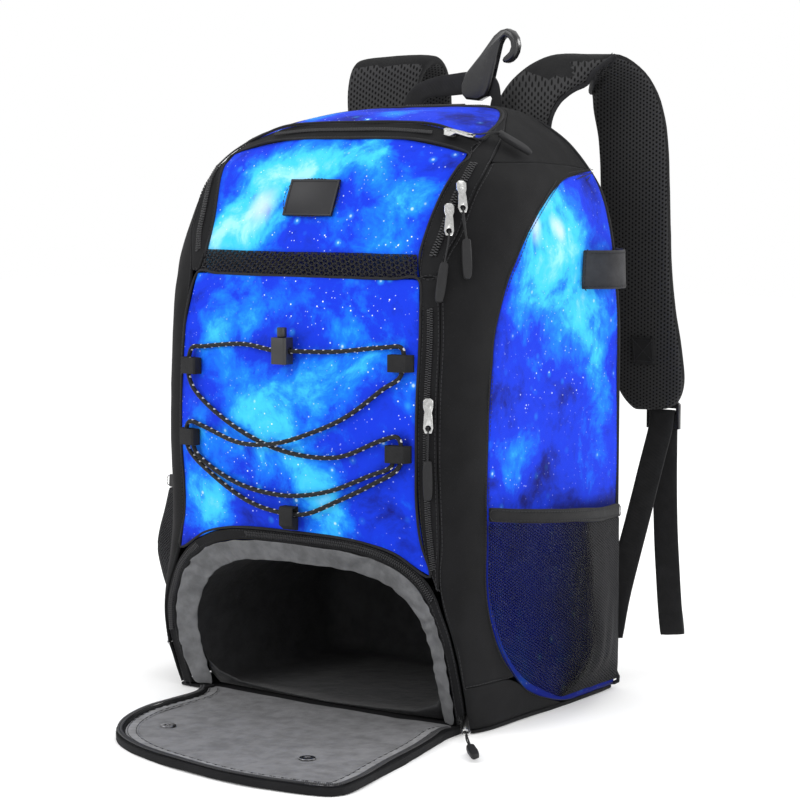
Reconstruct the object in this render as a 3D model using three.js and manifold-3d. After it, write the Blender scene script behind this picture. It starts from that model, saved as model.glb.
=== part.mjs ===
// Baseball bat backpack: printed front and side panels on a black body, with a shoe compartment open at the base.
// Millimetres, +Z up. X runs to the right seen from the front, the front faces -Y and the wearer's back is at +Y.
// The origin is the middle of the base, on the floor.
import * as THREE from 'three';
import { mergeVertices } from 'three/addons/utils/BufferGeometryUtils.js';
import Module from 'manifold-3d';

const wasm = await Module();
wasm.setup();

// Body sizes
const bagHeight = 517;
const halfWidth = 162;
const backReach = 108;
const frontReach = 150;
const baseThickness = 3;
const clothWall = 2.2;
const backPadding = 6;
const backCornerRadius = 3;
const seamGap = 0.3;
const rimTrim = 0.2;
const backTrim = 0.17;

// Front pocket sizes
const pocketTop = 372;
const pocketSpace = 19;
const pocketSideInset = 7;
const pocketWall = 1.8;
const pocketZipWidth = 17;
const leftBandWidth = 8;
const pocketPinch = { depth: 0.9, top: 220, fade: 40 };
const meshWall = 1.4;
const meshRise = 20;
const meshSpan = 0.98;
const meshSetback = 1;

// Zip sizes
const mainZipWidth = 28;
const shoeZipWidth = 10;
const browZipRow = 13.45;

// Shoe compartment sizes
const archHalf = 155;
const archHeight = 158;
const archPower = 3.5;
const borderWidth = 18;
const borderRecess = 8;
const liningStep = 3;
const archCover = 2;
const liningWall = 1.4;
const liningBack = 85;
const liningFlare = 4;
const archClear = 1.6;
const zipInset = 0.3;
const borderInset = 0.1;

// Shoe flap sizes
const flapLength = 228;
const flapThickness = 5;
const flapZipWidth = 8;
const hingeGap = 1.2;
const eyeletHole = 3;
const eyeletBarrel = 4.2;
const eyeletFlange = 7;
const eyeletRise = 0.9;
const eyeletEase = 0.6;
const flapRimRise = 1;

// Side pocket and bat strap sizes
const sidePocketFront = 186;
const sidePocketBack = 166;
const sidePocketBulge = { right: 34, left: 54 };
const sidePocketSpread = { right: 0.85, left: 0.38 };
const sidePocketFill = { rise: 0.35, taper: 0.25 };
const sidePocketFoot = 9;
const sidePocketTuck = 0.01;
const meshClear = 0.4;
const hemHeight = 12;
const hemLap = 0.2;
const hemStand = 2;
const batStrapHeight = 33;
const batStrapWidth = 66;
const batStrapReach = 24;
const batStrapLevel = 375;
const batStrapInset = 2;
const webbingWall = 1.6;

// Shoulder strap, webbing, handle and hook sizes
const strapEdge = { side: 0.45, flat: 0.86 };
const webbingWidth = 25;
const foldedWebbing = 3.6;
const ladderLock = { width: 34, height: 26, thickness: 4, corner: 4, chamfer: 3 };
const ladderSlot = { side: 1, low: 0.6, high: 6 };
const handleY = 76;
const hookThickness = 9;
const hookBevel = 1.6;
const hookX = 29;
const hookStand = 5.4;
const hookTunnel = { height: 23, low: 3, clear: 2 };

// Cord, tab, pull and label sizes
const cordRadius = 1.9;
const tabHeight = 14;
const tabReach = 18;
const tabWall = 1.4;
const tabFloor = 0.4;
const tabDepth = 9;
const tabStand = 0.7;
const lockLevel = 0.836;
const lockBarrel = { width: 16, height: 22, depth: 13, chamfer: 2 };
const lockBore = 5.6;
const lockStand = 0.6;
const boreRadius = 2.9;
const plunger = { radius: 4.2, length: 8 };
const sliderLength = 11;
const sliderWidth = 8;
const sliderDepth = 4.6;
const sliderStand = 0.5;
const pullTab = 22;
const tabThickness = 1.5;
const tabLevel = 4.4;
const tabTip = 4;
const tabEye = 2.5;
const pullCord = 26;
const floorCord = 36;
const pullCordRadius = 0.8;
const pullGrip = 33;
const gripDepth = 4.8;
const gripLevel = 1.4;
const pullClear = 0.15;
const labelRim = 2;
const labelRimRise = 0.7;
const labelStand = 0.4;
const labelWidth = 52;
const labelHeight = 33;
const labelThickness = 1.8;
const labelX = -5.5;
const labelZ = 433;

// Materials
const paints = {
  cloth: { color: 0x1b1b1d, roughness: 0.85, metalness: 0 },
  print: { color: 0x1d4fd8, roughness: 0.6, metalness: 0 },
  mesh: { color: 0x101012, roughness: 0.9, metalness: 0 },
  webbing: { color: 0x19191b, roughness: 0.8, metalness: 0 },
  lining: { color: 0x55565c, roughness: 0.85, metalness: 0 },
  zip: { color: 0x161618, roughness: 0.6, metalness: 0 },
  steel: { color: 0xc4c6ca, roughness: 0.3, metalness: 1 },
  plastic: { color: 0x1c1c1e, roughness: 0.45, metalness: 0 },
  rubber: { color: 0x262628, roughness: 0.7, metalness: 0 },
  cord: { color: 0x151517, roughness: 0.8, metalness: 0 },
};

const bag = new THREE.Group();

// The left wall sags outward near the base.
const leftSag = 8;
const sagTop = 200;
const sagRun = 140;
function sag(geometry) {
  const place = geometry.attributes.position;
  for (let i = 0; i < place.count; i++) {
    const x = place.getX(i);
    if (x < 0) place.setX(i, x + leftSag * (x / halfWidth) * ease((sagTop - place.getZ(i)) / sagRun));
  }
}

function add(name, geometry, paint) {
  if (!name.includes('flap') && !name.includes('eyelet')) sag(geometry);
  const mesh = new THREE.Mesh(geometry, new THREE.MeshStandardMaterial(paints[paint]));
  mesh.name = name;
  bag.add(mesh);
  return mesh;
}

// Small number helpers
const mix = (a, b, t) => a + (b - a) * t;
const clamp = (v, low, high) => Math.min(Math.max(v, low), high);
const ease = (t) => {
  const c = clamp(t, 0, 1);
  return c * c * (3 - 2 * c);
};
const steps = (count) => Array.from({ length: count + 1 }, (_, i) => i / count);
const vec = (x, y, z) => new THREE.Vector3(x, y, z);

// Smooth curve through table rows, column by column, at row position t.
function rowAt(rows, t) {
  const last = rows.length - 1;
  const i = Math.min(Math.floor(clamp(t, 0, last)), last - 1);
  const f = clamp(t, 0, last) - i;
  const p = [Math.max(i - 1, 0), i, i + 1, Math.min(i + 2, last)].map((k) => rows[k]);
  return p[0].map((_, c) => {
    const slopeIn = (p[2][c] - p[0][c]) / 2;
    const slopeOut = (p[3][c] - p[1][c]) / 2;
    const rise = p[2][c] - p[1][c];
    const a = slopeIn + slopeOut - 2 * rise;
    const b = 3 * rise - 2 * slopeIn - slopeOut;
    return p[1][c] + f * (slopeIn + f * (b + f * a));
  });
}

// Side wall sections, from the base up the side and over to the middle of the top.
// Columns: back seam half width, height and depth; where the side starts to turn forward;
// front seam half width, depth and height; outward fullness; and how far the panel
// between the front seams stands forward and up at its middle.
// Widths are shares of halfWidth, heights of bagHeight, back depths of backReach, the rest of frontReach.
const wallRows = [
  [0.985, 0.0, 1.0, 0.467, 0.938, 0.753, 0.0, 0.0, 0.03, 0.0],
  [1.0, 0.071, 1.0, 0.573, 0.956, 0.847, 0.071, 0.0, 0.04, 0.0],
  [1.0, 0.149, 1.0, 0.627, 0.935, 0.9, 0.149, 0.0, 0.045, 0.0],
  [1.0, 0.217, 1.0, 0.653, 0.859, 0.927, 0.217, 0.0, 0.055, 0.0],
  [1.0, 0.276, 1.0, 0.667, 0.796, 0.947, 0.276, 0.0, 0.06, 0.0],
  [1.0, 0.344, 1.0, 0.667, 0.772, 0.98, 0.344, 0.0, 0.073, 0.0],
  [1.0, 0.43, 1.0, 0.667, 0.772, 1.0, 0.43, 0.0, 0.087, 0.0],
  [1.0, 0.529, 1.0, 0.667, 0.772, 0.993, 0.529, 0.0, 0.087, 0.0],
  [1.0, 0.617, 1.0, 0.653, 0.772, 0.967, 0.617, 0.0, 0.067, 0.0],
  [0.994, 0.685, 0.981, 0.613, 0.753, 0.933, 0.685, 0.03, 0.053, 0.0],
  [0.981, 0.743, 0.962, 0.533, 0.704, 0.873, 0.743, 0.075, 0.053, 0.0],
  [0.969, 0.796, 0.925, 0.427, 0.704, 0.793, 0.796, 0.085, 0.053, 0.0],
  [0.938, 0.85, 0.872, 0.32, 0.735, 0.707, 0.85, 0.08, 0.047, 0.027],
  [0.872, 0.892, 0.82, 0.2, 0.772, 0.6, 0.895, 0.055, 0.04, 0.067],
  [0.77, 0.933, 0.78, 0.033, 0.765, 0.387, 0.936, 0.04, 0.033, 0.107],
  [0.66, 0.961, 0.745, -0.133, 0.722, 0.167, 0.959, 0.03, 0.033, 0.08],
  [0.531, 0.982, 0.73, -0.3, 0.62, -0.08, 0.979, 0.02, -0.02, 0.05],
  [0.309, 0.996, 0.725, -0.4, 0.42, -0.26, 0.993, 0.01, -0.035, 0.013],
  [0.0, 1.0, 0.72, -0.42, 0.0, -0.3, 0.996, 0.0, 0.0, 0.0],
];
const topRow = wallRows.length - 1;
const wallFoot = baseThickness + seamGap;
const archRow = 4.3;
const zipStartRow = 9.6;
const bandStartRow = 2.6;
const bandRiseRows = 2.4;
const bandWidenRows = 1.2;
const pocketLipRow = 10.2;
const pocketLipRows = 1.6;
const browRow = 13.7;

function section(u) {
  const r = rowAt(wallRows, u);
  const height = (share) => mix(wallFoot, bagHeight, share);
  return {
    backHalf: r[0] * halfWidth,
    backZ: height(r[1]),
    backY: r[2] * backReach,
    turnY: -r[3] * frontReach,
    frontHalf: r[4] * halfWidth,
    frontY: -r[5] * frontReach,
    frontZ: height(r[6]),
    bulge: r[7] * halfWidth,
    panelBulge: r[8] * frontReach,
    panelCrown: r[9] * frontReach,
  };
}

// Row position whose front seam is at height z, below the brow.
function rowAtHeight(z) {
  let low = 0;
  let high = 14;
  for (let i = 0; i < 30; i++) {
    const middle = (low + high) / 2;
    if (section(middle).frontZ < z) low = middle;
    else high = middle;
  }
  return low;
}

// A point on the side wall. u runs up the right side, over the top and down the left; w runs
// from the back seam (0) to the front seam (1).
const cornerShare = 0.06;
const turnShare = 0.5;
function wallPoint(u, w) {
  const side = u > topRow ? -1 : 1;
  const row = u > topRow ? 2 * topRow - u : u;
  const s = section(row);
  const before = section(Math.max(row - 0.05, 0));
  const after = section(Math.min(row + 0.05, topRow));
  const tx = after.backHalf - before.backHalf;
  const tz = after.backZ - before.backZ;
  const length = Math.hypot(tx, tz) || 1;
  const outX = row >= topRow ? 0 : tz / length;
  const outZ = row >= topRow ? 1 : -tx / length;
  let x;
  let y;
  let z;
  if (w < cornerShare) {
    const a = (w / cornerShare) * (Math.PI / 2);
    const inset = backCornerRadius * (1 - Math.sin(a));
    x = s.backHalf - outX * inset;
    z = s.backZ - outZ * inset;
    y = s.backY - backCornerRadius * (1 - Math.cos(a));
  } else if (w < turnShare) {
    x = s.backHalf;
    z = s.backZ;
    y = mix(s.backY - backCornerRadius, s.turnY, (w - cornerShare) / (turnShare - cornerShare));
  } else {
    const a = ((w - turnShare) / (1 - turnShare)) * (Math.PI / 2);
    x = mix(s.frontHalf, s.backHalf, Math.cos(a));
    z = mix(s.frontZ, s.backZ, Math.cos(a));
    y = mix(s.turnY, s.frontY, Math.sin(a));
  }
  const full = s.bulge * Math.sin(Math.PI * clamp((w - cornerShare) / (1 - cornerShare), 0, 1));
  return vec(side * (x + outX * full), y, z + outZ * full);
}

// Share w where the wall is at depth y.
function shareAtDepth(u, y) {
  let low = 0;
  let high = 1;
  for (let i = 0; i < 26; i++) {
    const middle = (low + high) / 2;
    if (wallPoint(u, middle).y > y) low = middle;
    else high = middle;
  }
  return low;
}

// Share w at a distance along the wall, measured back from the front seam.
function shareFromFront(u, distance) {
  let w = 1;
  let walked = 0;
  let here = wallPoint(u, 1);
  while (walked < distance && w > turnShare / 2) {
    w -= 0.01;
    const next = wallPoint(u, w);
    walked += here.distanceTo(next);
    here = next;
  }
  return w;
}

// The front face between the two front seams: row position u, and s from -1 at the left to 1 at the right.
function facePoint(u, s, inset = 0) {
  const r = section(u);
  const swell = 1 - s * s;
  const crown = 1 - Math.abs(s) ** 4;
  return vec(
    s * (r.frontHalf - inset),
    r.frontY - r.panelBulge * swell,
    r.frontZ + r.panelCrown * crown,
  );
}

// Depth of the front face at a place x, z below the pocket's top.
function faceDepth(x, z) {
  const r = section(rowAtHeight(z));
  const s = clamp(x / r.frontHalf, -1, 1);
  return r.frontY - r.panelBulge * (1 - s * s);
}

// Direction from a wall into the bag, towards a box in its middle, so that neighbours never cross.
const core = { x: halfWidth * 0.5, y: backReach * 0.55, low: bagHeight * 0.12, high: bagHeight * 0.84 };
function inward(p) {
  const target = vec(
    clamp(p.x, -core.x, core.x),
    clamp(p.y, -core.y, core.y),
    clamp(p.z, core.low, core.high),
  );
  return target.sub(p).normalize();
}

// Pull the rim of a point grid in by a distance, which leaves the gap at each seam.
function trimGrid(grid, distance) {
  const rows = grid.length;
  const cols = grid[0].length;
  const out = grid.map((row) => row.map((p) => p.clone()));
  const pull = (i, j, k, l) => {
    const step = grid[k][l].clone().sub(grid[i][j]);
    if (step.length() > distance) out[i][j].add(step.setLength(distance));
  };
  for (let j = 0; j < cols; j++) {
    pull(0, j, 1, j);
    pull(rows - 1, j, rows - 2, j);
  }
  for (let i = 0; i < rows; i++) {
    pull(i, 0, i, 1);
    pull(i, cols - 1, i, cols - 2);
  }
  return out;
}

// Flat outlines from x, y pairs.
const flatPoints = (pairs) => pairs.map(([x, y]) => new THREE.Vector2(x, y));
const outlineShape = (pairs) => new THREE.Shape(flatPoints(pairs));
const outlinePath = (pairs) => new THREE.Path(flatPoints(pairs));

// Closed solid between an outer and an inner point grid.
function slabGeometry(outer, inner) {
  const rows = outer.length;
  const cols = outer[0].length;
  const points = [...outer.flat(), ...inner.flat()];
  const offset = rows * cols;
  const at = (i, j, layer) => layer * offset + i * cols + j;
  const faces = [];
  const quad = (a, b, c, d) => faces.push(a, b, c, a, c, d);
  for (let i = 0; i < rows - 1; i++) {
    for (let j = 0; j < cols - 1; j++) {
      quad(at(i, j, 0), at(i, j + 1, 0), at(i + 1, j + 1, 0), at(i + 1, j, 0));
      quad(at(i, j, 1), at(i + 1, j, 1), at(i + 1, j + 1, 1), at(i, j + 1, 1));
    }
  }
  for (let j = 0; j < cols - 1; j++) {
    quad(at(0, j, 0), at(0, j, 1), at(0, j + 1, 1), at(0, j + 1, 0));
    quad(at(rows - 1, j, 0), at(rows - 1, j + 1, 0), at(rows - 1, j + 1, 1), at(rows - 1, j, 1));
  }
  for (let i = 0; i < rows - 1; i++) {
    quad(at(i, 0, 0), at(i + 1, 0, 0), at(i + 1, 0, 1), at(i, 0, 1));
    quad(at(i, cols - 1, 0), at(i, cols - 1, 1), at(i + 1, cols - 1, 1), at(i + 1, cols - 1, 0));
  }
  return solidGeometry(points, faces);
}

// Closed solid through rings of points, with a cap on each end.
function loftGeometry(rings) {
  const count = rings[0].length;
  const points = rings.flat();
  const faces = [];
  for (let k = 0; k < rings.length - 1; k++) {
    for (let i = 0; i < count; i++) {
      const j = (i + 1) % count;
      const a = k * count;
      const b = (k + 1) * count;
      faces.push(a + i, a + j, b + j, a + i, b + j, b + i);
    }
  }
  const last = (rings.length - 1) * count;
  for (let i = 1; i < count - 1; i++) {
    faces.push(0, i + 1, i);
    faces.push(last, last + i, last + i + 1);
  }
  return solidGeometry(points, faces);
}

// Indexed geometry with its faces turned outward.
function solidGeometry(points, faces) {
  const geometry = new THREE.BufferGeometry();
  geometry.setAttribute('position', new THREE.Float32BufferAttribute(points.flatMap((p) => [p.x, p.y, p.z]), 3));
  let volume = 0;
  for (let i = 0; i < faces.length; i += 3) {
    const [a, b, c] = [points[faces[i]], points[faces[i + 1]], points[faces[i + 2]]];
    volume += a.dot(b.clone().cross(c)) / 6;
  }
  if (volume < 0) {
    for (let i = 0; i < faces.length; i += 3) [faces[i + 1], faces[i + 2]] = [faces[i + 2], faces[i + 1]];
  }
  geometry.setIndex(faces);
  geometry.computeVertexNormals();
  return geometry;
}

// Boolean helpers
function toManifold(geometry) {
  const bare = (geometry.index ? geometry.toNonIndexed() : geometry.clone());
  for (const name of Object.keys(bare.attributes)) if (name !== 'position') bare.deleteAttribute(name);
  const merged = mergeVertices(bare, 1e-4);
  const mesh = new wasm.Mesh({
    numProp: 3,
    vertProperties: merged.attributes.position.array,
    triVerts: new Uint32Array(merged.index.array),
  });
  return new wasm.Manifold(mesh);
}

function fromManifold(solid) {
  const mesh = solid.getMesh();
  const geometry = new THREE.BufferGeometry();
  geometry.setAttribute('position', new THREE.Float32BufferAttribute(mesh.vertProperties, 3));
  geometry.setIndex(Array.from(mesh.triVerts));
  geometry.computeVertexNormals();
  return geometry;
}

const joined = (...parts) => fromManifold(parts.map(toManifold).reduce((a, b) => a.add(b)));

// A wall panel between two seams: u runs over rowList, w between shares given for each row.
function wallPanel(rowList, backShare, frontShare, across, thickness) {
  const outer = rowList.map((u) => {
    const a = backShare(u);
    const b = frontShare(u);
    return steps(across).map((t) => wallPoint(u, mix(a, b, t)));
  });
  return coveredPanel(outer, thickness);
}

function coveredPanel(grid, thickness) {
  const outer = trimGrid(grid, rimTrim);
  const inner = outer.map((row) => row.map((p) => p.clone().addScaledVector(inward(p), thickness)));
  return slabGeometry(outer, inner);
}

const mirrored = (rowList) => rowList.map((u) => 2 * topRow - u);

// Every panel that shares a seam uses the same row positions.
const bodyRows = [0, 0.5, 1, 1.5, 2, 2.6, 3.2, 3.8, 4.3, 5, 6, 7, 8, 8.8, 9.6, 10.2, 10.8, 11.4, 12, 12.5, 12.9, 13];
const crownRows = [13, 13.45, 14, 14.5, 15, 15.5, 16, 16.5, 17];
const ridgeRows = [17, 17.4, 17.7, 18, 18.3, 18.6, 19];

// Front edge of the printed side leaf: heights as shares of bagHeight, depths as shares of frontReach.
const leafRows = [
  { height: 0.012, depth: -0.12 },
  { height: 0.035, depth: 0.22 },
  { height: 0.068, depth: 0.387 },
  { height: 0.118, depth: 0.533 },
  { height: 0.172, depth: 0.633 },
  { height: 0.224, depth: 0.68 },
  { height: 0.45, depth: 0.68 },
  { height: 0.6, depth: 0.64 },
  { height: 0.665, depth: 0.6 },
  { height: 0.725, depth: 0.53 },
  { height: 0.783, depth: 0.4 },
  { height: 0.84, depth: 0.14 },
  { height: 0.872, depth: -0.16 },
  { height: 0.896, depth: -0.78 },
];
const leafTopRow = 13;

function leafDepth(z) {
  const share = z / bagHeight;
  let i = 0;
  while (i < leafRows.length - 2 && leafRows[i + 1].height < share) i++;
  const span = leafRows[i + 1].height - leafRows[i].height;
  const t = clamp((share - leafRows[i].height) / span, 0, 1);
  return -frontReach * mix(leafRows[i].depth, leafRows[i + 1].depth, t);
}

// Share of the leaf's front edge on a row, and of the zip bands next to the front seam.
const onRight = (u) => u <= topRow;
const halfRow = (u) => (u > topRow ? 2 * topRow - u : u);
const leafShare = (u) => shareAtDepth(u, leafDepth(section(halfRow(u)).backZ));
function bandWidth(u) {
  const row = halfRow(u);
  const lower = onRight(u) ? pocketZipWidth : leftBandWidth;
  const wide = mix(lower, mainZipWidth, ease((row - zipStartRow) / bandWidenRows));
  return wide * ease((row - bandStartRow) / bandRiseRows);
}
const bandShare = (u) => shareFromFront(u, bandWidth(u));
const gussetFront = (u) => (onRight(u) || halfRow(u) >= zipStartRow ? bandShare(u) : 1);

// Base panel: a flat plate with the outline of the lowest section.
function basePanel() {
  const right = steps(10).map((t) => wallPoint(0, t));
  const front = steps(6).map((t) => facePoint(0, 1 - 2 * t));
  const left = steps(10).map((t) => wallPoint(2 * topRow, 1 - t));
  const ring = [...right, ...front.slice(1, -1), ...left];
  const level = (z) => ring.map((p) => vec(p.x, p.y, z));
  add('base_panel', loftGeometry([level(0), level(baseThickness)]), 'cloth');
}

// Back panel between the two back seams, thick with its padding.
function backPanel() {
  const rowList = [...bodyRows, ...crownRows.slice(1)];
  const grid = rowList.map((u) => {
    const edge = wallPoint(u, 0);
    return steps(4).map((t) => vec(edge.x * (2 * t - 1), edge.y, edge.z));
  });
  const outer = trimGrid(grid, backTrim);
  const inner = outer.map((row) => row.map((p) => {
    const into = inward(p);
    return p.clone().addScaledVector(into, Math.min(backPadding, clothWall / Math.max(-into.y, 0.35)));
  }));
  add('back_panel', slabGeometry(outer, inner), 'cloth');
}

// Side panels: a black gusset in front of the printed leaf, split at a low seam.
function sidePanels() {
  const sides = [
    { name: 'right', place: (list) => list },
    { name: 'left', place: mirrored },
  ];
  const low = bodyRows.filter((u) => u <= 1);
  const high = bodyRows.filter((u) => u >= 1);
  const tip = leafTopRow;
  for (const side of sides) {
    add(`side_print_${side.name}`,
      wallPanel(side.place(bodyRows.filter((u) => u < tip)), () => 0, leafShare, 4, clothWall), 'print');
    add(`gusset_lower_${side.name}`, wallPanel(side.place(low), leafShare, () => 1, 5, clothWall), 'cloth');
    add(`gusset_${side.name}`, wallPanel(side.place(high), leafShare, gussetFront, 5, clothWall), 'cloth');
  }
  const over = [...crownRows, ...ridgeRows.slice(1, -1), ...mirrored(crownRows).reverse()];
  add('top_yoke', wallPanel(over, () => 0, bandShare, 4, clothWall), 'cloth');
}

// Main zip: a band beside the front seam that runs up each side and over the top.
function mainZip() {
  const upper = [...bodyRows.filter((u) => u >= zipStartRow), ...crownRows.slice(1)];
  const over = [...upper, ...ridgeRows.slice(1, -1), ...mirrored(upper).reverse()];
  add('main_zip', wallPanel(over, bandShare, () => 1, 2, clothWall), 'zip');
}

// Front panel from the brow down behind the pocket, and the printed strip over the top.
const faceSteps = 6;
const behindPocket = (u) => ease((pocketLipRow - u) / pocketLipRows);
function frontPanel() {
  const rowList = [...bodyRows.filter((u) => u >= archRow), browZipRow];
  const grid = rowList.map((u) => steps(faceSteps).map((t) => {
    const hidden = behindPocket(u);
    const p = facePoint(u, 2 * t - 1, pocketSideInset * hidden);
    p.y += pocketSpace * hidden;
    if (u === archRow) p.z = Math.max(p.z, archHeight + archCover);
    return p;
  }));
  add('front_panel', coveredPanel(grid, clothWall), 'print');
  const strip = (list) => list.map((u) => steps(faceSteps).map((t) => facePoint(u, 2 * t - 1)));
  add('brow_zip', coveredPanel(strip([browZipRow, browRow, 14]), clothWall), 'zip');
  add('top_panel', coveredPanel(strip(crownRows.filter((u) => u >= 14)), clothWall), 'print');
}

// The arch of the shoe compartment: angle a runs from the right foot over to the left foot.
function archPoint(a, inset) {
  const power = 2 / archPower;
  const c = Math.cos(a);
  const z = mix(wallFoot + seamGap, archHeight - inset, Math.abs(Math.sin(a)) ** power);
  const room = section(rowAtHeight(z)).frontHalf - inset - archClear;
  const x = Math.sign(c) * Math.min((archHalf - inset) * Math.abs(c) ** power, room);
  return { x, z };
}

const archLift = (x) => archHeight * (1 - Math.min(Math.abs(x / archHalf), 1) ** archPower) ** (1 / archPower);

// Arch angles spaced so that the strips follow the two upper corners closely.
const archAngles = steps(20).map((t) => Math.PI * t);

function archStrip(outerInset, innerInset, innerRecess, thickness) {
  const grid = archAngles.map((a) => steps(2).map((t) => {
    const { x, z } = archPoint(a, mix(outerInset, innerInset, t));
    return vec(x, faceDepth(x, z) + innerRecess * t, z);
  }));
  return coveredPanel(grid, thickness);
}

function liningRing(inset, y) {
  return archAngles.map((a) => {
    const { x, z } = archPoint(a, inset);
    return vec(x, y === undefined ? faceDepth(x, z) + borderRecess + liningStep : y, z);
  });
}

// Shoe compartment: zip tape, gathered lining border and a tub that is open at the front.
function shoeCompartment() {
  add('shoe_zip', archStrip(zipInset, shoeZipWidth, 0, clothWall), 'zip');
  add('shoe_border', archStrip(shoeZipWidth + borderInset, shoeZipWidth + borderWidth, borderRecess, liningWall), 'lining');
  const outerInset = shoeZipWidth + borderWidth - liningFlare;
  const outer = [liningRing(outerInset), liningRing(outerInset - liningFlare, 0), liningRing(outerInset, liningBack)];
  const innerInset = outerInset + liningWall;
  const lift = (ring) => ring.map((p) => vec(p.x, p.y, Math.max(p.z, wallFoot + seamGap + liningWall)));
  const inner = [
    liningRing(innerInset),
    liningRing(innerInset - liningFlare, 0),
    liningRing(innerInset, liningBack - liningWall),
  ].map(lift);
  add('shoe_lining', cupGeometry(outer, inner), 'lining');
}

// Cup: rings from the mouth to the closed end, outside and inside.
function cupGeometry(outer, inner) {
  const count = outer[0].length;
  const points = [];
  const faces = [];
  const starts = [...outer, ...inner].map((ring) => {
    points.push(...ring);
    return points.length - count;
  });
  const band = (a, b) => {
    for (let i = 0; i < count; i++) {
      const j = (i + 1) % count;
      faces.push(a + i, a + j, b + j, a + i, b + j, b + i);
    }
  };
  const half = outer.length;
  for (let k = 0; k < half - 1; k++) {
    band(starts[k], starts[k + 1]);
    band(starts[half + k + 1], starts[half + k]);
  }
  band(starts[half], starts[0]);
  const middle = (ring) => ring.reduce((sum, p) => sum.add(p), vec(0, 0, 0)).divideScalar(count);
  points.push(middle(outer[half - 1]), middle(inner[half - 1]));
  const outerEnd = points.length - 2;
  const innerEnd = points.length - 1;
  for (let i = 0; i < count; i++) {
    const j = (i + 1) % count;
    faces.push(starts[half - 1] + i, starts[half - 1] + j, outerEnd);
    faces.push(starts[2 * half - 1] + j, starts[2 * half - 1] + i, innerEnd);
  }
  return solidGeometry(points, faces);
}

// Flap outline, from the right end of the hinge round the front to the left end.
// Columns: across as a share of archHalf, forward as a share of flapLength.
const flapRows = [
  { across: 0.94, forward: 0.08 },
  { across: 1.03, forward: 0.3 },
  { across: 1.1, forward: 0.55 },
  { across: 1.18, forward: 0.8 },
  { across: 1.17, forward: 0.92 },
  { across: 1.0, forward: 0.97 },
  { across: 0.6, forward: 1.0 },
  { across: 0.2, forward: 0.965 },
  { across: -0.15, forward: 0.905 },
  { across: -0.42, forward: 0.8 },
  { across: -0.6, forward: 0.64 },
  { across: -0.7, forward: 0.44 },
  { across: -0.71, forward: 0.28 },
  { across: -0.72, forward: 0.14 },
  { across: -0.8, forward: 0.05 },
];
const hingeY = (x) => facePoint(0, clamp(x / section(0).frontHalf, -1, 1)).y - hingeGap;

const circlePoints = (x, y, radius, count) => steps(count).slice(1).map((t) =>
  new THREE.Vector2(x + Math.cos(2 * Math.PI * t) * radius, y + Math.sin(2 * Math.PI * t) * radius));

function flapOutline(inset) {
  const outer = flapRows.map((r) => {
    const forward = r.forward * flapLength;
    return vec(r.across * archHalf, hingeY(0) - forward, 0);
  });
  const curve = new THREE.CatmullRomCurve3(outer, false, 'centripetal');
  const points = curve.getPoints(36);
  return points.map((p, i) => {
    const before = points[Math.max(i - 1, 0)];
    const after = points[Math.min(i + 1, points.length - 1)];
    const along = after.clone().sub(before).normalize();
    return new THREE.Vector2(p.x + along.y * inset, p.y - along.x * inset);
  });
}

const eyeletPlaces = [
  { x: -52, forward: 134 },
  { x: 107, forward: 151 },
];

function shoeFlap() {
  const edge = flapOutline(0);
  const inside = flapOutline(flapZipWidth);
  const hingeRight = new THREE.Vector2(edge[0].x, hingeY(edge[0].x));
  const hingeLeft = new THREE.Vector2(edge.at(-1).x, hingeY(edge.at(-1).x));
  const hinge = (from, to) => steps(5).slice(1, -1).map((t) => {
    const x = mix(from, to, t);
    return new THREE.Vector2(x, hingeY(x));
  });
  const insideRight = new THREE.Vector2(inside[0].x, hingeY(inside[0].x));
  const insideLeft = new THREE.Vector2(inside.at(-1).x, hingeY(inside.at(-1).x));
  const panel = new THREE.Shape([insideRight, ...inside, insideLeft, ...hinge(insideLeft.x, insideRight.x)]);
  for (const place of eyeletPlaces) {
    panel.holes.push(new THREE.Path(circlePoints(place.x, hingeY(0) - place.forward, eyeletBarrel + seamGap, 10)));
  }
  add('shoe_flap', new THREE.ExtrudeGeometry(panel, { depth: flapThickness, bevelEnabled: false }),
    'lining');
  const gap = flapOutline(flapZipWidth - seamGap);
  const gapRight = new THREE.Vector2(gap[0].x, hingeY(gap[0].x));
  const gapLeft = new THREE.Vector2(gap.at(-1).x, hingeY(gap.at(-1).x));
  const rim = new THREE.Shape([hingeRight, ...edge, hingeLeft, gapLeft, ...gap.slice().reverse(), gapRight]);
  add('flap_zip', new THREE.ExtrudeGeometry(rim, { depth: flapThickness + flapRimRise, bevelEnabled: false }), 'zip');
  eyeletPlaces.forEach((place, i) => {
    const top = flapThickness + seamGap;
    const profile = [
      [eyeletHole, seamGap], [eyeletBarrel, seamGap], [eyeletBarrel, top], [eyeletFlange, top],
      [eyeletFlange - eyeletEase, top + eyeletRise], [eyeletHole, top + eyeletRise], [eyeletHole, seamGap],
    ].map(([r, z]) => new THREE.Vector2(r, z));
    const ring = new THREE.LatheGeometry(profile, 10).rotateX(Math.PI / 2);
    ring.translate(place.x, hingeY(0) - place.forward, 0);
    add(`eyelet_${i === 0 ? 'left' : 'right'}`, ring, 'steel');
  });
}

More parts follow.
